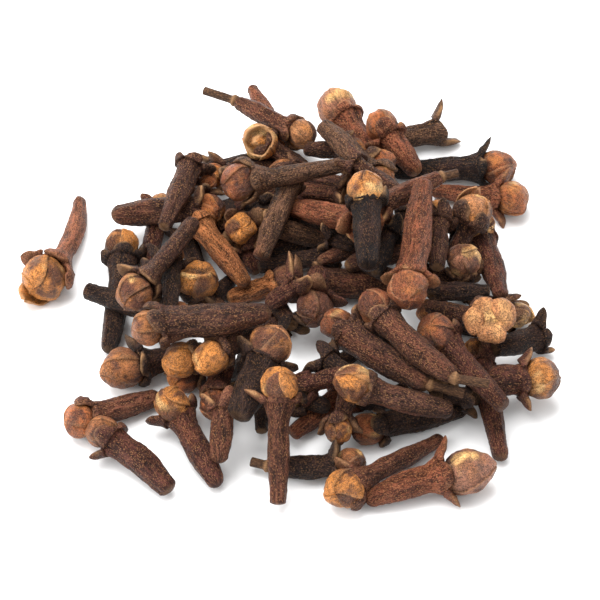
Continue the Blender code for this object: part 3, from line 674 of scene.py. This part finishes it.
def add_sepals(pile, shape, spine, seed):
    """The four thick blunt sepals that spread from the calyx or hug the bud."""
    chance = random.Random(seed + SEPAL_SEED)
    share = calyx_share(shape, spine)
    middle, along, side, across = (column[0] for column in frames_along(spine, [share]))
    budded = shape.kind == "bud"
    rim = calyx_radius(shape)
    t = np.linspace(0, 1, SEPAL_ROWS)
    angles = round_turns(SEPAL_ROUND)
    ellipse = np.sign(np.cos(angles)) * np.abs(np.cos(angles)) ** 0.8
    habit = chance.uniform(0.35, 1.0) if budded else chance.uniform(0.15, 0.6)
    for quarter in range(4):
        letter = shape.lobes[quarter] if shape.lobes else ""
        turn = math.radians(shape.roll) + quarter * math.pi / 2 + chance.uniform(-0.12, 0.12)
        out = side * math.cos(turn) + across * math.sin(turn)
        beside = np.cross(along, out)
        length = shape.sepal * chance.uniform(0.75, 1.1) + 0.4
        root = middle + out * rim * 0.84 - along * 0.4
        lean = habit + chance.uniform(-0.25, 0.25) + chance.uniform(-0.3, 0.7) * t
        if letter == ".":
            length = 0.55
        elif letter:
            start, more, longer = LOBES[letter]
            lean = start + chance.uniform(-0.1, 0.1) + (more + chance.uniform(-0.15, 0.15)) * t
            length *= longer
        twist = chance.uniform(-0.35, 0.35) * t**2
        step = length / (SEPAL_ROWS - 1)
        run = np.cumsum(np.cos(lean)) * step
        spread = np.cumsum(np.sin(lean)) * step
        ridge = root + np.outer(run, along) + np.outer(spread, out)
        ridge = ridge + np.outer(twist * length, beside)
        heading = np.outer(np.cos(lean), along) + np.outer(np.sin(lean), out)
        normal = np.cross(beside, heading)
        ragged = 1 + chance.uniform(0.03, 0.10) * np.sin(t * chance.uniform(8, 14))
        half = rim * (0.72 - 0.30 * t) * np.clip(1 - t**5, 0, 1) ** 0.5 * ragged + 0.08
        thick = (0.24 + 0.22 * (1 - t)) * np.clip(1 - t**8, 0.25, 1)
        sheet = ridge[:, None, :] + beside * (half[:, None] * ellipse)[..., None]
        cup = chance.uniform(0.10, 0.30)
        sheet = sheet - out * (cup * (half[:, None] * ellipse) ** 2)[..., None]
        if budded:
            # Where it would run into the bud it lies against it instead.
            from_bud = sheet - spine.bud
            away = np.linalg.norm(from_bud, axis=-1)
            clear = shape.bud_r * 1.04 + thick[:, None] * 0.7
            push = np.maximum(clear / away, 1)
            push = 1 + (push - 1) * smooth(t, 0.05, 0.3)[:, None]
            sheet = spine.bud + from_bud * push[..., None]
        points = sheet + normal[:, None, :] * (thick[:, None] * np.sin(angles))[..., None]
        place = points @ np.stack([side, across, along], axis=1)
        place = own_place(place, chance)
        points = points + normal[:, None, :] * (noise(place * 1.4, 7) * 0.10)[..., None]
        points = points + (noise(place * 3.0, 9) * 0.05)[..., None] * out
        edge = np.abs(ellipse) ** 7 * np.ones((SEPAL_ROWS, 1))
        edge = np.maximum(edge, smooth(t, 0.85, 1.0)[:, None])
        edge = edge * smooth(noise(place * 0.9, 10), -0.5, 0.5)
        pale = edge * smooth(t, 0.1, 0.5)[:, None] * chance.choice((0.1, 0.25, 0.4, 0.7))
        inner = smooth(np.sin(angles), 0.2, -0.6) * chance.uniform(0.0, 0.25)
        pale = np.maximum(pale, inner * smooth(t, 0.2, 0.6)[:, None])
        tone = linear(SKINS[shape.skin]) * (0.9 + 0.3 * noise(place * 0.8, 8)[..., None])
        pile.add_sleeve(points, place, tone, pale, 0.0)


# How much of a petal of each colour is golden in patches.
GOLD_SHARE = {
    "gold": 0.8,
    "tan": 0.8,
    "pink": 0.5,
    "orange": 0.6,
    "red": 0.25,
    "brown": 0.35,
    "cream": 0.5,
    "mauve": 0.25,
    "bark": 0.12,
}
PETAL_COLUMNS = 10
BUD_RINGS = 28
BUD_BROWN = (78, 40, 30)
# The skin's grains are long along the clove. On a bud they are round.
ALONG_AS_ROUND = (1.0, 1.0, 1.8)


def add_bud(pile, shape, spine, seed):
    """The round bud: four petals of uneven width, folded over one another."""
    chance = random.Random(seed + BUD_SEED)
    frames = turned_frames(shape, spine)
    latitude = np.radians(np.linspace(-70, 88, BUD_RINGS))
    climb = (latitude - latitude[0]) / (latitude[-1] - latitude[0])
    twist = chance.uniform(0.3, 1.3) * chance.choice((-1, 1))
    within = np.linspace(0, 1, PETAL_COLUMNS)
    lip = chance.uniform(0.02, 0.055)
    roll = math.radians(shape.roll) + math.pi / 4
    widths = np.array([chance.uniform(0.6, 1.6) for _ in range(4)])
    widths *= 2 * math.pi / widths.sum()
    begins = np.concatenate([[0], np.cumsum(widths)[:-1]])
    wobbles = [
        chance.uniform(-0.1, 0.1) + 0.07 * np.sin(climb * chance.uniform(4, 9)) for _ in range(5)
    ]
    wobbles[4] = wobbles[0]
    angles, bulge, seam_shade, edge, stain = [], [], [], [], []
    shape_of = (BUD_RINGS, PETAL_COLUMNS)
    for quarter in range(4):
        start = roll + begins[quarter] + twist * climb**1.4 + wobbles[quarter]
        wide = widths[quarter] + wobbles[quarter + 1] - wobbles[quarter]
        angles.append(start[:, None] + within * wide[:, None])
        bulge.append(np.broadcast_to(lip * (np.exp(-within * 3.5) - 0.6 * within**5), shape_of))
        seam_shade.append(np.broadcast_to(smooth(within, 0.84, 1.0), shape_of))
        edge.append(np.broadcast_to(smooth(within, 0.14, 0.0), shape_of))
        stain.append(np.full(shape_of, chance.choice((-0.25, -0.1, 0.1, 0.4))))
    angles, bulge, seam_shade, edge, stain = (
        np.concatenate(part, axis=1) for part in (angles, bulge, seam_shade, edge, stain)
    )
    tall = chance.uniform(0.86, 1.06)
    tip = np.exp(-(((math.pi / 2 - latitude) / 0.4) ** 2)) * chance.uniform(-0.08, 0.10)
    corners = 0.06 * np.cos(4 * (angles - roll)) if shape.form == "square" else 0.0
    if shape.form == "point":
        tip = 0.30 * np.exp(-(((math.pi / 2 - latitude) / 0.55) ** 2)) - 0.04
    unit = on_ball(latitude, angles) * (1, 1, tall)
    place = own_place(unit * shape.bud_r, chance)
    open_up = smooth(climb, 0.05, 0.3)[:, None]
    relief = noise(place * 0.5, 11) * 0.10 + noise(place * 1.2, 12) * 0.06
    relief += noise(place * (3.0, 3.0, 1.4), 13) * 0.03
    stretch = shape.bud_r * (0.94 + bulge * open_up + tip[:, None] + relief + corners)
    local = unit * stretch[..., None]
    dish = np.zeros(angles.shape)
    if shape.form == "cup":
        # The cap is gone: the sides end in a thin ragged rim round a sunken middle.
        broken = climb[:, None] + 0.06 * noise(place * 0.9, 30) + 0.03 * noise(place * 2.6, 31)
        dish = smooth(broken, 0.66, 0.74)
        rough_floor = 0.22 + 0.16 * noise(place * 2.4, 23) + 0.3 * smooth(broken, 0.82, 0.95)
        sunk = unit[..., 2] * (1 - dish) + rough_floor * dish
        local[..., 2] = sunk * shape.bud_r
    cream = smooth(noise(place * 0.55, 14), 0.6 - shape.pale * 1.4, 0.8 - shape.pale * 1.4)
    middle, along, side, across = frames
    if shape.form == "fold":
        lift, cream, shaded_hollow = fold(unit, frames, place)
        local = local * (1 + lift[..., None])
    points = set_out(middle, side, across, along, local)
    tone = mixed(linear(PETALS[shape.petals]), PETALS["cream"], cream)
    gold = smooth(noise(place * 0.9, 19), 0.0, 0.5) * GOLD_SHARE[shape.petals]
    tone = mixed(tone, PETALS["gold"], gold)
    brown = noise(place * 0.75, 15) * 0.8 + noise(place * 2.6, 20) * 0.4 + stain
    tone = mixed(tone, BUD_BROWN, smooth(brown, -0.10, 0.45) * (0.9 - 0.5 * cream))
    # Painted shade along the seams where each petal tucks under the next, and towards the bottom where
    # the bud sits in the calyx.
    low = smooth(climb, 0.45, 0.1)[:, None]
    dark = np.clip(seam_shade * open_up * 0.5 + low * 0.6, 0, 1)
    # The pale raised lips of the petals are a painted highlight.
    pale = edge * open_up * 0.25
    # The hollow above the fold is darkened with painted shade.
    if shape.form == "fold":
        dark = np.maximum(dark * (1 - cream), shaded_hollow)
        pale = pale * (1 - shaded_hollow)
    if shape.form == "cup":
        rim = np.exp(-(((broken - 0.68) / 0.06) ** 2))
        pale = np.maximum(pale, rim * smooth(noise(place * 0.7, 24), -0.7, 0.2))
        # Painted shade darkens the sunken middle round its pale knobs.
        knob = smooth(broken, 0.84, 0.93)
        dark = np.maximum(dark, dish * (1 - knob) * 0.8)
        pale = np.maximum(pale, knob * smooth(noise(place * 1.6, 29), -0.6, 0.3) * 0.8)
    pile.add_sleeve(points, place * ALONG_AS_ROUND, tone, pale, dark)
    for loose in range(shape.parted):
        add_loose_petal(pile, shape, frames, roll + (loose + 0.3) * 2.2, chance)


def fold(unit, frames, place):
    """A cream fold across a bud's front under a hollow with painted shade: lift, cream, hollow."""
    _, along, side, across = frames
    axes = np.array([side, across, along])
    beside, up, front = (unit @ (axes @ way) for way in (VIEW_RIGHT, VIEW_UP, -VIEW_FORWARD))
    up = up - 0.30 * beside**2 + 0.05 * noise(place * 1.1, 28)
    ahead = smooth(front, 0.1, 0.5) * smooth(np.abs(beside), 0.85, 0.6)
    cream = smooth(up, 0.02, 0.14) * smooth(up, 0.32, 0.25) * ahead
    shaded_hollow = smooth(up, 0.27, 0.36) * smooth(up, 0.74, 0.55) * ahead
    lift = 0.10 * cream - 0.09 * shaded_hollow
    return lift, cream, shaded_hollow


def turned_frames(shape, spine):
    """The bud's middle and its three directions, its top turned to the front."""
    middle, straight, side, across = (column[0] for column in frames_along(spine, [1.0]))
    along = straight * (1 - shape.face) - VIEW_FORWARD * shape.face
    along = along / np.linalg.norm(along)
    middle = middle + (along - straight) * shape.bud_r * 0.45
    side = side - along * np.dot(side, along)
    side = side / np.linalg.norm(side)
    return middle, along, side, np.cross(along, side)


STAR_LOBES = 4
STAR_ROWS = 18
STAR_ROUND = 22


def add_star(pile, shape, spine, seed):
    """A bud whose four petals have spread into thick lobes round its middle."""
    chance = random.Random(seed + BUD_SEED)
    middle, along, side, across = turned_frames(shape, spine)
    latitude = np.radians(np.linspace(-86, 86, STAR_ROWS))
    unit = on_ball(latitude, round_turns(STAR_ROUND))
    for lobe in range(STAR_LOBES):
        turn = (lobe + chance.uniform(-0.25, 0.25)) * 2 * math.pi / STAR_LOBES
        turn += math.radians(shape.roll)
        out = side * math.cos(turn) + across * math.sin(turn)
        beside = np.cross(along, out)
        size = shape.bud_r * chance.uniform(0.40, 0.66)
        reach = shape.bud_r * chance.uniform(0.42, 0.64)
        centre = middle + out * reach + along * shape.bud_r * chance.uniform(0.22, 0.42)
        place = own_place(unit * size, chance)
        swell = size * (1 + 0.26 * noise(place * 0.9, 25) + 0.08 * noise(place * 2.4, 26))
        local = unit * swell[..., None] * (1.0, 1.15, 0.7)
        points = set_out(centre, out, beside, along, local)
        # Each lobe is cream on its top as a painted highlight, and darker underneath and towards the
        # middle as painted shade.
        top = smooth(unit[..., 2] + 0.8 * noise(place * 0.9, 27), 0.4, 1.1) * 0.35
        tone = mixed(linear(PETALS[shape.petals]), PETALS["cream"], top)
        inward = np.linalg.norm((reach + local[..., 0], local[..., 1]), axis=0) / shape.bud_r
        dark = np.maximum(smooth(unit[..., 2], 0.3, -0.3), smooth(inward, 0.5, 0.15)) * 0.85
        pile.add_sleeve(points, place * ALONG_AS_ROUND, tone, 0.0, dark)
    heart = shape._replace(form="", petals="brown", bud_r=shape.bud_r * 0.8)
    add_bud(pile, heart, spine, seed + 1)


LOOSE_ROWS = 12
LOOSE_COLUMNS = 11
LOOSE_THICKNESS = 0.13


def add_loose_petal(pile, shape, frames, turn, chance):
    """A dry petal that has come away from the bud: a thin cupped scale."""
    middle, along, side, across = frames
    climb = np.linspace(0, 1, LOOSE_ROWS)
    latitude = np.radians(-35 + 100 * climb)
    half = 0.70 * np.sin(math.pi * (0.12 + 0.80 * climb)) ** 0.7
    shares = np.linspace(-1, 1, LOOSE_COLUMNS)
    lift = 1.06 + 0.20 * climb**2 + 0.05 * chance.uniform(0, 1)
    wave = 0.05 * np.sin(shares * 4 + chance.uniform(0, 6))
    outer_turn = turn + half[:, None] * shares
    radius = shape.bud_r * (lift[:, None] + wave + 0.04 * shares**2)
    turns = np.concatenate([outer_turn, outer_turn[:, ::-1]], axis=1)
    radii = np.concatenate([radius, radius[:, ::-1] - LOOSE_THICKNESS], axis=1)
    local = on_ball(latitude, turns) * radii[..., None]
    place = own_place(local, chance)
    local = local * (1 + 0.03 * noise(place * 2.0, 16)[..., None])
    points = set_out(middle, side, across, along, local)
    rim = np.abs(np.concatenate([shares, shares[::-1]])) ** 5
    pale = np.clip(rim + smooth(climb, 0.75, 1.0)[:, None], 0, 1) * 0.6
    pile.add_sleeve(points, place, linear(PETALS[shape.petals]), pale, 0.0)


DISC_ROUND = 20
# From the disc's edge in and up the style: radius as a share, lift in millimetres.
DISC_SHARES = (0.9, 0.82, 0.6, 0.22, 0.14, 0.10)
DISC_LIFTS = (0.0, 0.26, 0.20, 0.16, 0.40, 0.55)


def add_bare_top(pile, shape, spine, seed):
    """The squarish disc and the stub of the style that are left where a bud fell off."""
    chance = random.Random(seed + BARE_SEED)
    frames = frames_along(spine, [1.0] * len(DISC_LIFTS))
    angles = round_turns(DISC_ROUND)
    radii = shape.stem_r * np.array(DISC_SHARES)[:, None]
    radii = radii * (1 + 0.08 * np.cos(4 * (angles - math.radians(shape.roll))))
    lifts = np.array(DISC_LIFTS)[:, None]
    points = ring_around(frames, angles, radii, lifts)
    place = own_place(points, chance)
    points = points + 0.06 * noise(place * 2.2, 17)[..., None]
    tone = linear(SKINS[shape.skin]) * 1.1
    pile.add_sleeve(points, place, tone, 0.25, 0.0)


STALK_ROUND = 20
STALK_RINGS = 16
# The rings at the stalk's cut tip and at its thick joint with the stem: how far along
# they are, in millimetres from the tip and from the stem's end, and their widths as shares.
STALK_TIP_RUNS = (-0.02, 0.0)
STALK_TIP_WIDTHS = (0.5, 0.9)
JOINT_RUNS = (-0.3, -0.15, 0.0, 0.5)
JOINT_WIDTHS = (1.15, 1.45, 1.4, 1.1)


def add_stalk(pile, shape, spine, seed):
    """The thin flower stalk below a stem's end, with the pale ring of its joint."""
    chance = random.Random(seed + STALK_SEED)
    tip = on_sight_line(shape.stalk, spine.end[2])
    along = spine.end - tip
    length = float(np.linalg.norm(along))
    along = along / length
    side = np.cross(VIEW_FORWARD, along)
    side /= np.linalg.norm(side)
    across = np.cross(along, side)
    plain_runs = np.linspace(0.05, length - 0.5, STALK_RINGS)
    runs = np.concatenate([STALK_TIP_RUNS, plain_runs, length + np.array(JOINT_RUNS)])
    wide = np.concatenate([STALK_TIP_WIDTHS, np.ones(STALK_RINGS), JOINT_WIDTHS]) * STALK_RADIUS
    angles = round_turns(STALK_ROUND)
    frames = [tip + np.outer(runs, along)]
    frames += [np.tile(direction, (len(runs), 1)) for direction in (along, side, across)]
    place = own_place(on_tube(angles, runs, 1.0), chance)
    radii = wide[:, None] + 0.05 * noise(place * (1.6, 1.6, 0.7), 18)
    points = ring_around(frames, angles, radii)
    ring = np.exp(-(((runs - length + 0.15) / 0.18) ** 2))[:, None]
    pile.add_sleeve(points, place, linear(STALK_TONE), ring * 0.3, 0.0)


CORE_RINGS = 20
CORE_ROUND = 60
# How far up its curve a mound goes, and how much smaller it is than the solids' mound.
CORE_ARC = math.pi / 2 * 0.94
CORE_SHARE = np.array([0.97, 0.97, 0.95])


def add_core(pile):
    """The low mounds of broken clove under the heap's middle, dark with painted shade."""
    latitude = np.linspace(0, CORE_ARC, CORE_RINGS)
    rise = np.sin(latitude)
    for seed, (middle, radius, top) in enumerate(CORE_LUMPS):
        points = on_ball(latitude, round_turns(CORE_ROUND)) * (*radius, top) * CORE_SHARE
        points = points + (*middle, 0)
        bumps = np.abs(noise(points * 0.9, 21 + seed)) * 0.5 * smooth(rise, 0, 0.3)[:, None]
        points[..., 2] = np.maximum(points[..., 2] - bumps, 0)
        pile.add_sleeve(points, points, linear(CORE_SHADE_TONE), 0.0, 0.0)


def seen_place(point):
    """Where a point is seen in the view."""
    ray = point - EYE
    seen = EYE + ray * VIEW_DISTANCE / np.dot(ray, VIEW_FORWARD)
    return float(np.dot(seen, VIEW_RIGHT)), float(np.dot(seen, VIEW_UP))


BURIED_IN_LUMP = 11
BURIED_RADIUS = 0.85
# How much of a mound's radius they are spread over, half their length and how deep their
# middle line lies in the mound, in millimetres.
BURIED_SPREAD = 0.80
BURIED_HALF = (1.7, 2.5)
BURIED_DEPTH = 0.45
FIRST_BURIED_SEED = 200
GOLDEN_TURN = 2.4


def buried_cloves():
    """Small budless cloves half sunk all over the core: their shapes and spines."""
    chance = random.Random(31)
    shapes, spines = [], []
    for middle, radius, _ in CORE_LUMPS:
        for step in range(BURIED_IN_LUMP):
            away = BURIED_SPREAD * math.sqrt((step + 0.5) / BURIED_IN_LUMP)
            turn = step * GOLDEN_TURN
            heading = chance.uniform(0, 2 * math.pi)
            half = chance.uniform(*BURIED_HALF) * np.array([math.cos(heading), math.sin(heading)])
            centre = np.array(middle) + away * np.array(radius) * (math.cos(turn), math.sin(turn))
            ends = np.array([[*(centre - half), 0], [*(centre + half), 0]])
            heights = np.maximum(core_height(ends) - BURIED_DEPTH, BURIED_RADIUS * 0.8)
            ends[:, 2] = heights
            shape = scrap(seen_place(ends[1]), seen_place(ends[0]), 1.0, BURIED_RADIUS)
            shapes.append(shape._replace(skin=chance.choice(("black", "plum", "plum"))))
            spines.append(Spine(shape, *heights))
    return shapes, spines


STEM_PIECES = {
    "jet_and_shade": "black_stems",
    "black": "black_stems",
    "dark": "dark_stems",
    "grey": "dark_stems",
}


def add_clove(piles, shape, spine, seed):
    """All that one clove consists of, each part in the pile of its kind."""
    add_stem(piles[STEM_PIECES.get(shape.skin, "brown_stems")], shape, spine, seed)
    add_sepals(piles["sepals"], shape, spine, seed)
    if shape.form == "star":
        add_star(piles["buds"], shape, spine, seed)
    elif shape.kind == "bud":
        add_bud(piles["buds"], shape, spine, seed)
    else:
        add_bare_top(piles["sepals"], shape, spine, seed)
    if shape.stalk:
        add_stalk(piles["stalks"], shape, spine, seed)


class Nodes:
    """A short way to place and join a material's or a group's nodes."""

    def __init__(self, tree):
        self.tree = tree

    def add(self, kind, **settings):
        node = self.tree.nodes.new(kind)
        for name, value in settings.items():
            setattr(node, name, value)
        return node

    def join(self, source, target):
        self.tree.links.new(source, target)

    def math(self, operation, first, second=None, third=None):
        node = self.add("ShaderNodeMath", operation=operation)
        for socket, value in zip(node.inputs, (first, second, third)):
            if isinstance(value, (int, float)):
                socket.default_value = value
            elif value is not None:
                self.join(value, socket)
        return node.outputs[0]

    def mix(self, factor, first, second, blend="MIX"):
        node = self.add("ShaderNodeMix", data_type="RGBA", blend_type=blend)
        sockets = (node.inputs[index] for index in (0, 6, 7))
        for socket, value in zip(sockets, (factor, first, second)):
            if isinstance(value, bpy.types.NodeSocket):
                self.join(value, socket)
            else:
                socket.default_value = value
        return node.outputs[2]

    def stretch(self, vector, scale):
        node = self.add("ShaderNodeVectorMath", operation="MULTIPLY")
        self.join(vector, node.inputs[0])
        node.inputs[1].default_value = scale
        return node.outputs[0]

    def noise(self, vector, scale, detail=2.0, roughness=0.5):
        node = self.add("ShaderNodeTexNoise")
        self.join(vector, node.inputs["Vector"])
        node.inputs["Scale"].default_value = scale
        node.inputs["Detail"].default_value = detail
        node.inputs["Roughness"].default_value = roughness
        return node.outputs[0]

    def ramp(self, value, low, high, to_low=0.0, to_high=1.0):
        node = self.add("ShaderNodeMapRange", interpolation_type="SMOOTHSTEP")
        self.join(value, node.inputs["Value"])
        names = ("From Min", "From Max", "To Min", "To Max")
        for name, number in zip(names, (low, high, to_low, to_high)):
            node.inputs[name].default_value = number
        return node.outputs[0]


def dry_skin_group():
    """Dry plant skin: grains and fine creases along it, as masks and a height."""
    group = bpy.data.node_groups.new("dry_skin", "ShaderNodeTree")
    face = group.interface
    face.new_socket("Place", in_out="INPUT", socket_type="NodeSocketVector")
    for name, value in (("Grain", 4.0), ("Crease", 3.0)):
        socket = face.new_socket(name, in_out="INPUT", socket_type="NodeSocketFloat")
        socket.default_value = value
    for name in ("Height", "Crests", "Mottle", "Specks and glints"):
        face.new_socket(name, in_out="OUTPUT", socket_type="NodeSocketFloat")
    nodes = Nodes(group)
    given = nodes.add("NodeGroupInput")
    out = nodes.add("NodeGroupOutput")
    place = given.outputs["Place"]
    cells = nodes.add("ShaderNodeTexVoronoi")
    nodes.join(nodes.stretch(place, (1, 1, 0.55)), cells.inputs["Vector"])
    nodes.join(given.outputs["Grain"], cells.inputs["Scale"])
    dots = nodes.ramp(cells.outputs["Distance"], 0.50, 0.15)
    pores = nodes.add("ShaderNodeTexVoronoi")
    nodes.join(nodes.stretch(place, (1, 1, 0.5)), pores.inputs["Vector"])
    pores.inputs["Scale"].default_value = 6.1
    pits = nodes.ramp(pores.outputs["Distance"], 0.42, 0.10)
    crease = nodes.add("ShaderNodeTexNoise")
    nodes.join(nodes.stretch(place, (1, 1, 0.22)), crease.inputs["Vector"])
    nodes.join(given.outputs["Crease"], crease.inputs["Scale"])
    crease.inputs["Detail"].default_value = 4
    crease.inputs["Roughness"].default_value = 0.6
    fine = nodes.noise(place, 9.0, detail=3, roughness=0.65)
    relief = nodes.math("MULTIPLY_ADD", dots, 0.3, nodes.math("MULTIPLY", crease.outputs[0], 0.9))
    relief = nodes.math("MULTIPLY_ADD", fine, 0.6, relief)
    relief = nodes.math("MULTIPLY_ADD", pits, -0.28, relief)
    nodes.join(relief, out.inputs["Height"])
    nodes.join(nodes.ramp(relief, 0.50, 1.02), out.inputs["Crests"])
    nodes.join(nodes.noise(place, 0.6, detail=3), out.inputs["Mottle"])
    patches = nodes.ramp(nodes.noise(place, 1.9, detail=3), 0.30, 0.58)
    nodes.join(nodes.math("MULTIPLY", dots, patches), out.inputs["Specks and glints"])
    return group


# For each skin the scales of its grains and creases, how bright its valleys and its
# crests are as painted shade and painted highlight, how strong its pale specks, its
# depth in metres, its roughness and gloss.
SKIN_LOOKS = {
    "stem_skin": (7.6, 4.0, 0.30, 1.6, 0.9, 0.00032, 0.45, 0.15),
    "petal_skin": (7.6, 4.2, 0.42, 1.45, 0.8, 0.00026, 0.4, 0.35),
    "sepal_skin": (7.6, 4.0, 0.32, 1.55, 0.8, 0.00024, 0.5, 0.15),
    "stalk_skin": (5.0, 5.0, 0.45, 1.4, 0.4, 0.00012, 0.6, 0.15),
}


def clove_material(name, group, grain, crease, valley, crest, light, bump, rough, gloss):
    """Clove skin: painted shade in valleys, painted highlights on crests, and pale specks."""
    material = bpy.data.materials.new(name)
    material.use_nodes = True
    nodes = Nodes(material.node_tree)
    shader = material.node_tree.nodes["Principled BSDF"]
    shader.inputs["Specular IOR Level"].default_value = gloss
    skin = nodes.add("ShaderNodeGroup", node_tree=group)
    place = nodes.add("ShaderNodeAttribute", attribute_name="place")
    tone = nodes.add("ShaderNodeAttribute", attribute_name="tone")
    marks = nodes.add("ShaderNodeAttribute", attribute_name="marks")
    nodes.join(place.outputs["Vector"], skin.inputs["Place"])
    skin.inputs["Grain"].default_value = grain
    skin.inputs["Crease"].default_value = crease
    pale_and_shade = nodes.add("ShaderNodeSeparateColor")
    nodes.join(marks.outputs["Color"], pale_and_shade.inputs[0])
    # Painted shade in the skin's valleys and painted highlights on its crests.
    shade = nodes.ramp(skin.outputs["Crests"], 0.0, 1.0, valley, crest)
    lit = nodes.ramp(skin.outputs["Mottle"], 0.3, 0.7, 0.64, 1.12)
    shade = nodes.math("MULTIPLY", shade, lit)
    # The dark mark darkens the colour as painted shade.
    unshaded = nodes.math("MULTIPLY_ADD", pale_and_shade.outputs[1], -0.75, 1.0)
    shade = nodes.math("MULTIPLY", shade, unshaded)
    grey = nodes.add("ShaderNodeCombineColor")
    for socket in grey.inputs:
        nodes.join(shade, socket)
    colour = nodes.mix(1.0, tone.outputs["Color"], grey.outputs[0], "MULTIPLY")
    paleness = nodes.ramp(tone.outputs["Fac"], 0.010, 0.040, 0.19, 0.38)
    bright = nodes.mix(paleness, tone.outputs["Color"], (*linear(PALE_SPECK_AND_GLINT), 1))
    # Pale specks, stronger on the crests: partly grain, partly painted glints.
    lifted = nodes.ramp(skin.outputs["Crests"], 0.25, 0.8, 0.25, 1.0)
    speck_and_glint = nodes.math("MULTIPLY", nodes.math("MULTIPLY", skin.outputs["Specks and glints"], lifted), light)
    colour = nodes.mix(speck_and_glint, colour, bright)
    colour = nodes.mix(pale_and_shade.outputs[0], colour, (*linear(PALE_EDGE), 1))
    nodes.join(colour, shader.inputs["Base Color"])
    roughness = nodes.ramp(skin.outputs["Mottle"], 0.3, 0.7, rough - 0.08, rough + 0.1)
    nodes.join(roughness, shader.inputs["Roughness"])
    relief = nodes.add("ShaderNodeBump")
    relief.inputs["Strength"].default_value = 1.0
    relief.inputs["Distance"].default_value = bump
    nodes.join(skin.outputs["Height"], relief.inputs["Height"])
    nodes.join(relief.outputs[0], shader.inputs["Normal"])
    return material


def add_floor():
    """The plain white surface under the heap."""
    mesh = bpy.data.meshes.new("floor")
    mesh.from_pydata([(-1, -1, 0), (1, -1, 0), (1, 1, 0), (-1, 1, 0)], [], [(0, 1, 2, 3)])
    floor = bpy.data.objects.new("floor", mesh)
    bpy.context.scene.collection.objects.link(floor)
    material = bpy.data.materials.new("white_surface")
    material.use_nodes = True
    shader = material.node_tree.nodes["Principled BSDF"]
    shader.inputs["Base Color"].default_value = (0.9, 0.9, 0.9, 1)
    shader.inputs["Roughness"].default_value = 0.7
    mesh.materials.append(material)


def add_light(name, place, size, power):
    """A soft square light at this place in millimetres, aimed at the heap."""
    light = bpy.data.lights.new(name, "AREA")
    light.size = size * MM
    light.energy = power
    lamp = bpy.data.objects.new(name, light)
    lamp.location = np.array(place) * MM
    lamp.rotation_euler = lamp.location.to_track_quat("Z", "Y").to_euler()
    bpy.context.scene.collection.objects.link(lamp)


# The soft lights: place and size in millimetres, and power in watts.
LIGHTS = {
    "soft_top": ((-100, 120, 420), 380, 3.4),
    "soft_left": ((-380, -120, 260), 280, 1.5),
}
SKY_STRENGTH = 1.05


def light_the_studio():
    """An even white sky and two soft lights."""
    world = bpy.data.worlds.new("studio")
    world.use_nodes = True
    sky = world.node_tree.nodes["Background"]
    sky.inputs["Color"].default_value = (1, 1, 1, 1)
    sky.inputs["Strength"].default_value = SKY_STRENGTH
    bpy.context.scene.world = world
    for name, light in LIGHTS.items():
        add_light(name, *light)
    bpy.context.scene.view_settings.view_transform = "Standard"


def add_camera():
    """The camera that the view is seen through."""
    camera = bpy.data.cameras.new("camera")
    camera.sensor_width = 36.0
    camera.lens = camera.sensor_width * VIEW_DISTANCE / VIEW_WIDTH
    camera.clip_start = 0.01
    holder = bpy.data.objects.new("camera", camera)
    holder.location = (EYE + VIEW_MIDDLE) * MM
    holder.rotation_euler = (math.pi / 2 - VIEW_TILT, 0, 0)
    bpy.context.scene.collection.objects.link(holder)
    bpy.context.scene.camera = holder


PIECES = {
    "black_stems": "stem_skin",
    "dark_stems": "stem_skin",
    "brown_stems": "stem_skin",
    "sepals": "sepal_skin",
    "buds": "petal_skin",
    "stalks": "stalk_skin",
}


def build_cloves(cloves, node, ending, materials):
    """The pieces of these cloves, one for each kind of part, in place of a node."""
    piles = {name: Pile() for name in PIECES}
    for shape, spine, seed in cloves:
        add_clove(piles, shape, spine, seed)
    if node == "clove_heap":
        add_core(piles["stalks"])
        for seed, (shape, spine) in enumerate(zip(*buried_cloves()), FIRST_BURIED_SEED):
            add_clove(piles, shape, spine, seed)
    for name, material in PIECES.items():
        if piles[name].count:
            piece = piles[name].build(name + ending, materials[material])
            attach(piece, "root")
            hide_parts(node)


def main():
    group = dry_skin_group()
    materials = {name: clove_material(name, group, *look) for name, look in SKIN_LOOKS.items()}
    shapes = BESIDE + HEAP
    cloves = list(zip(shapes, settle_all(shapes), range(len(shapes))))
    count = len(BESIDE)
    build_cloves(cloves[:count], "clove_beside", "_beside", materials)
    build_cloves(cloves[count:], "clove_heap", "", materials)
    add_floor()
    light_the_studio()
    add_camera()


main()
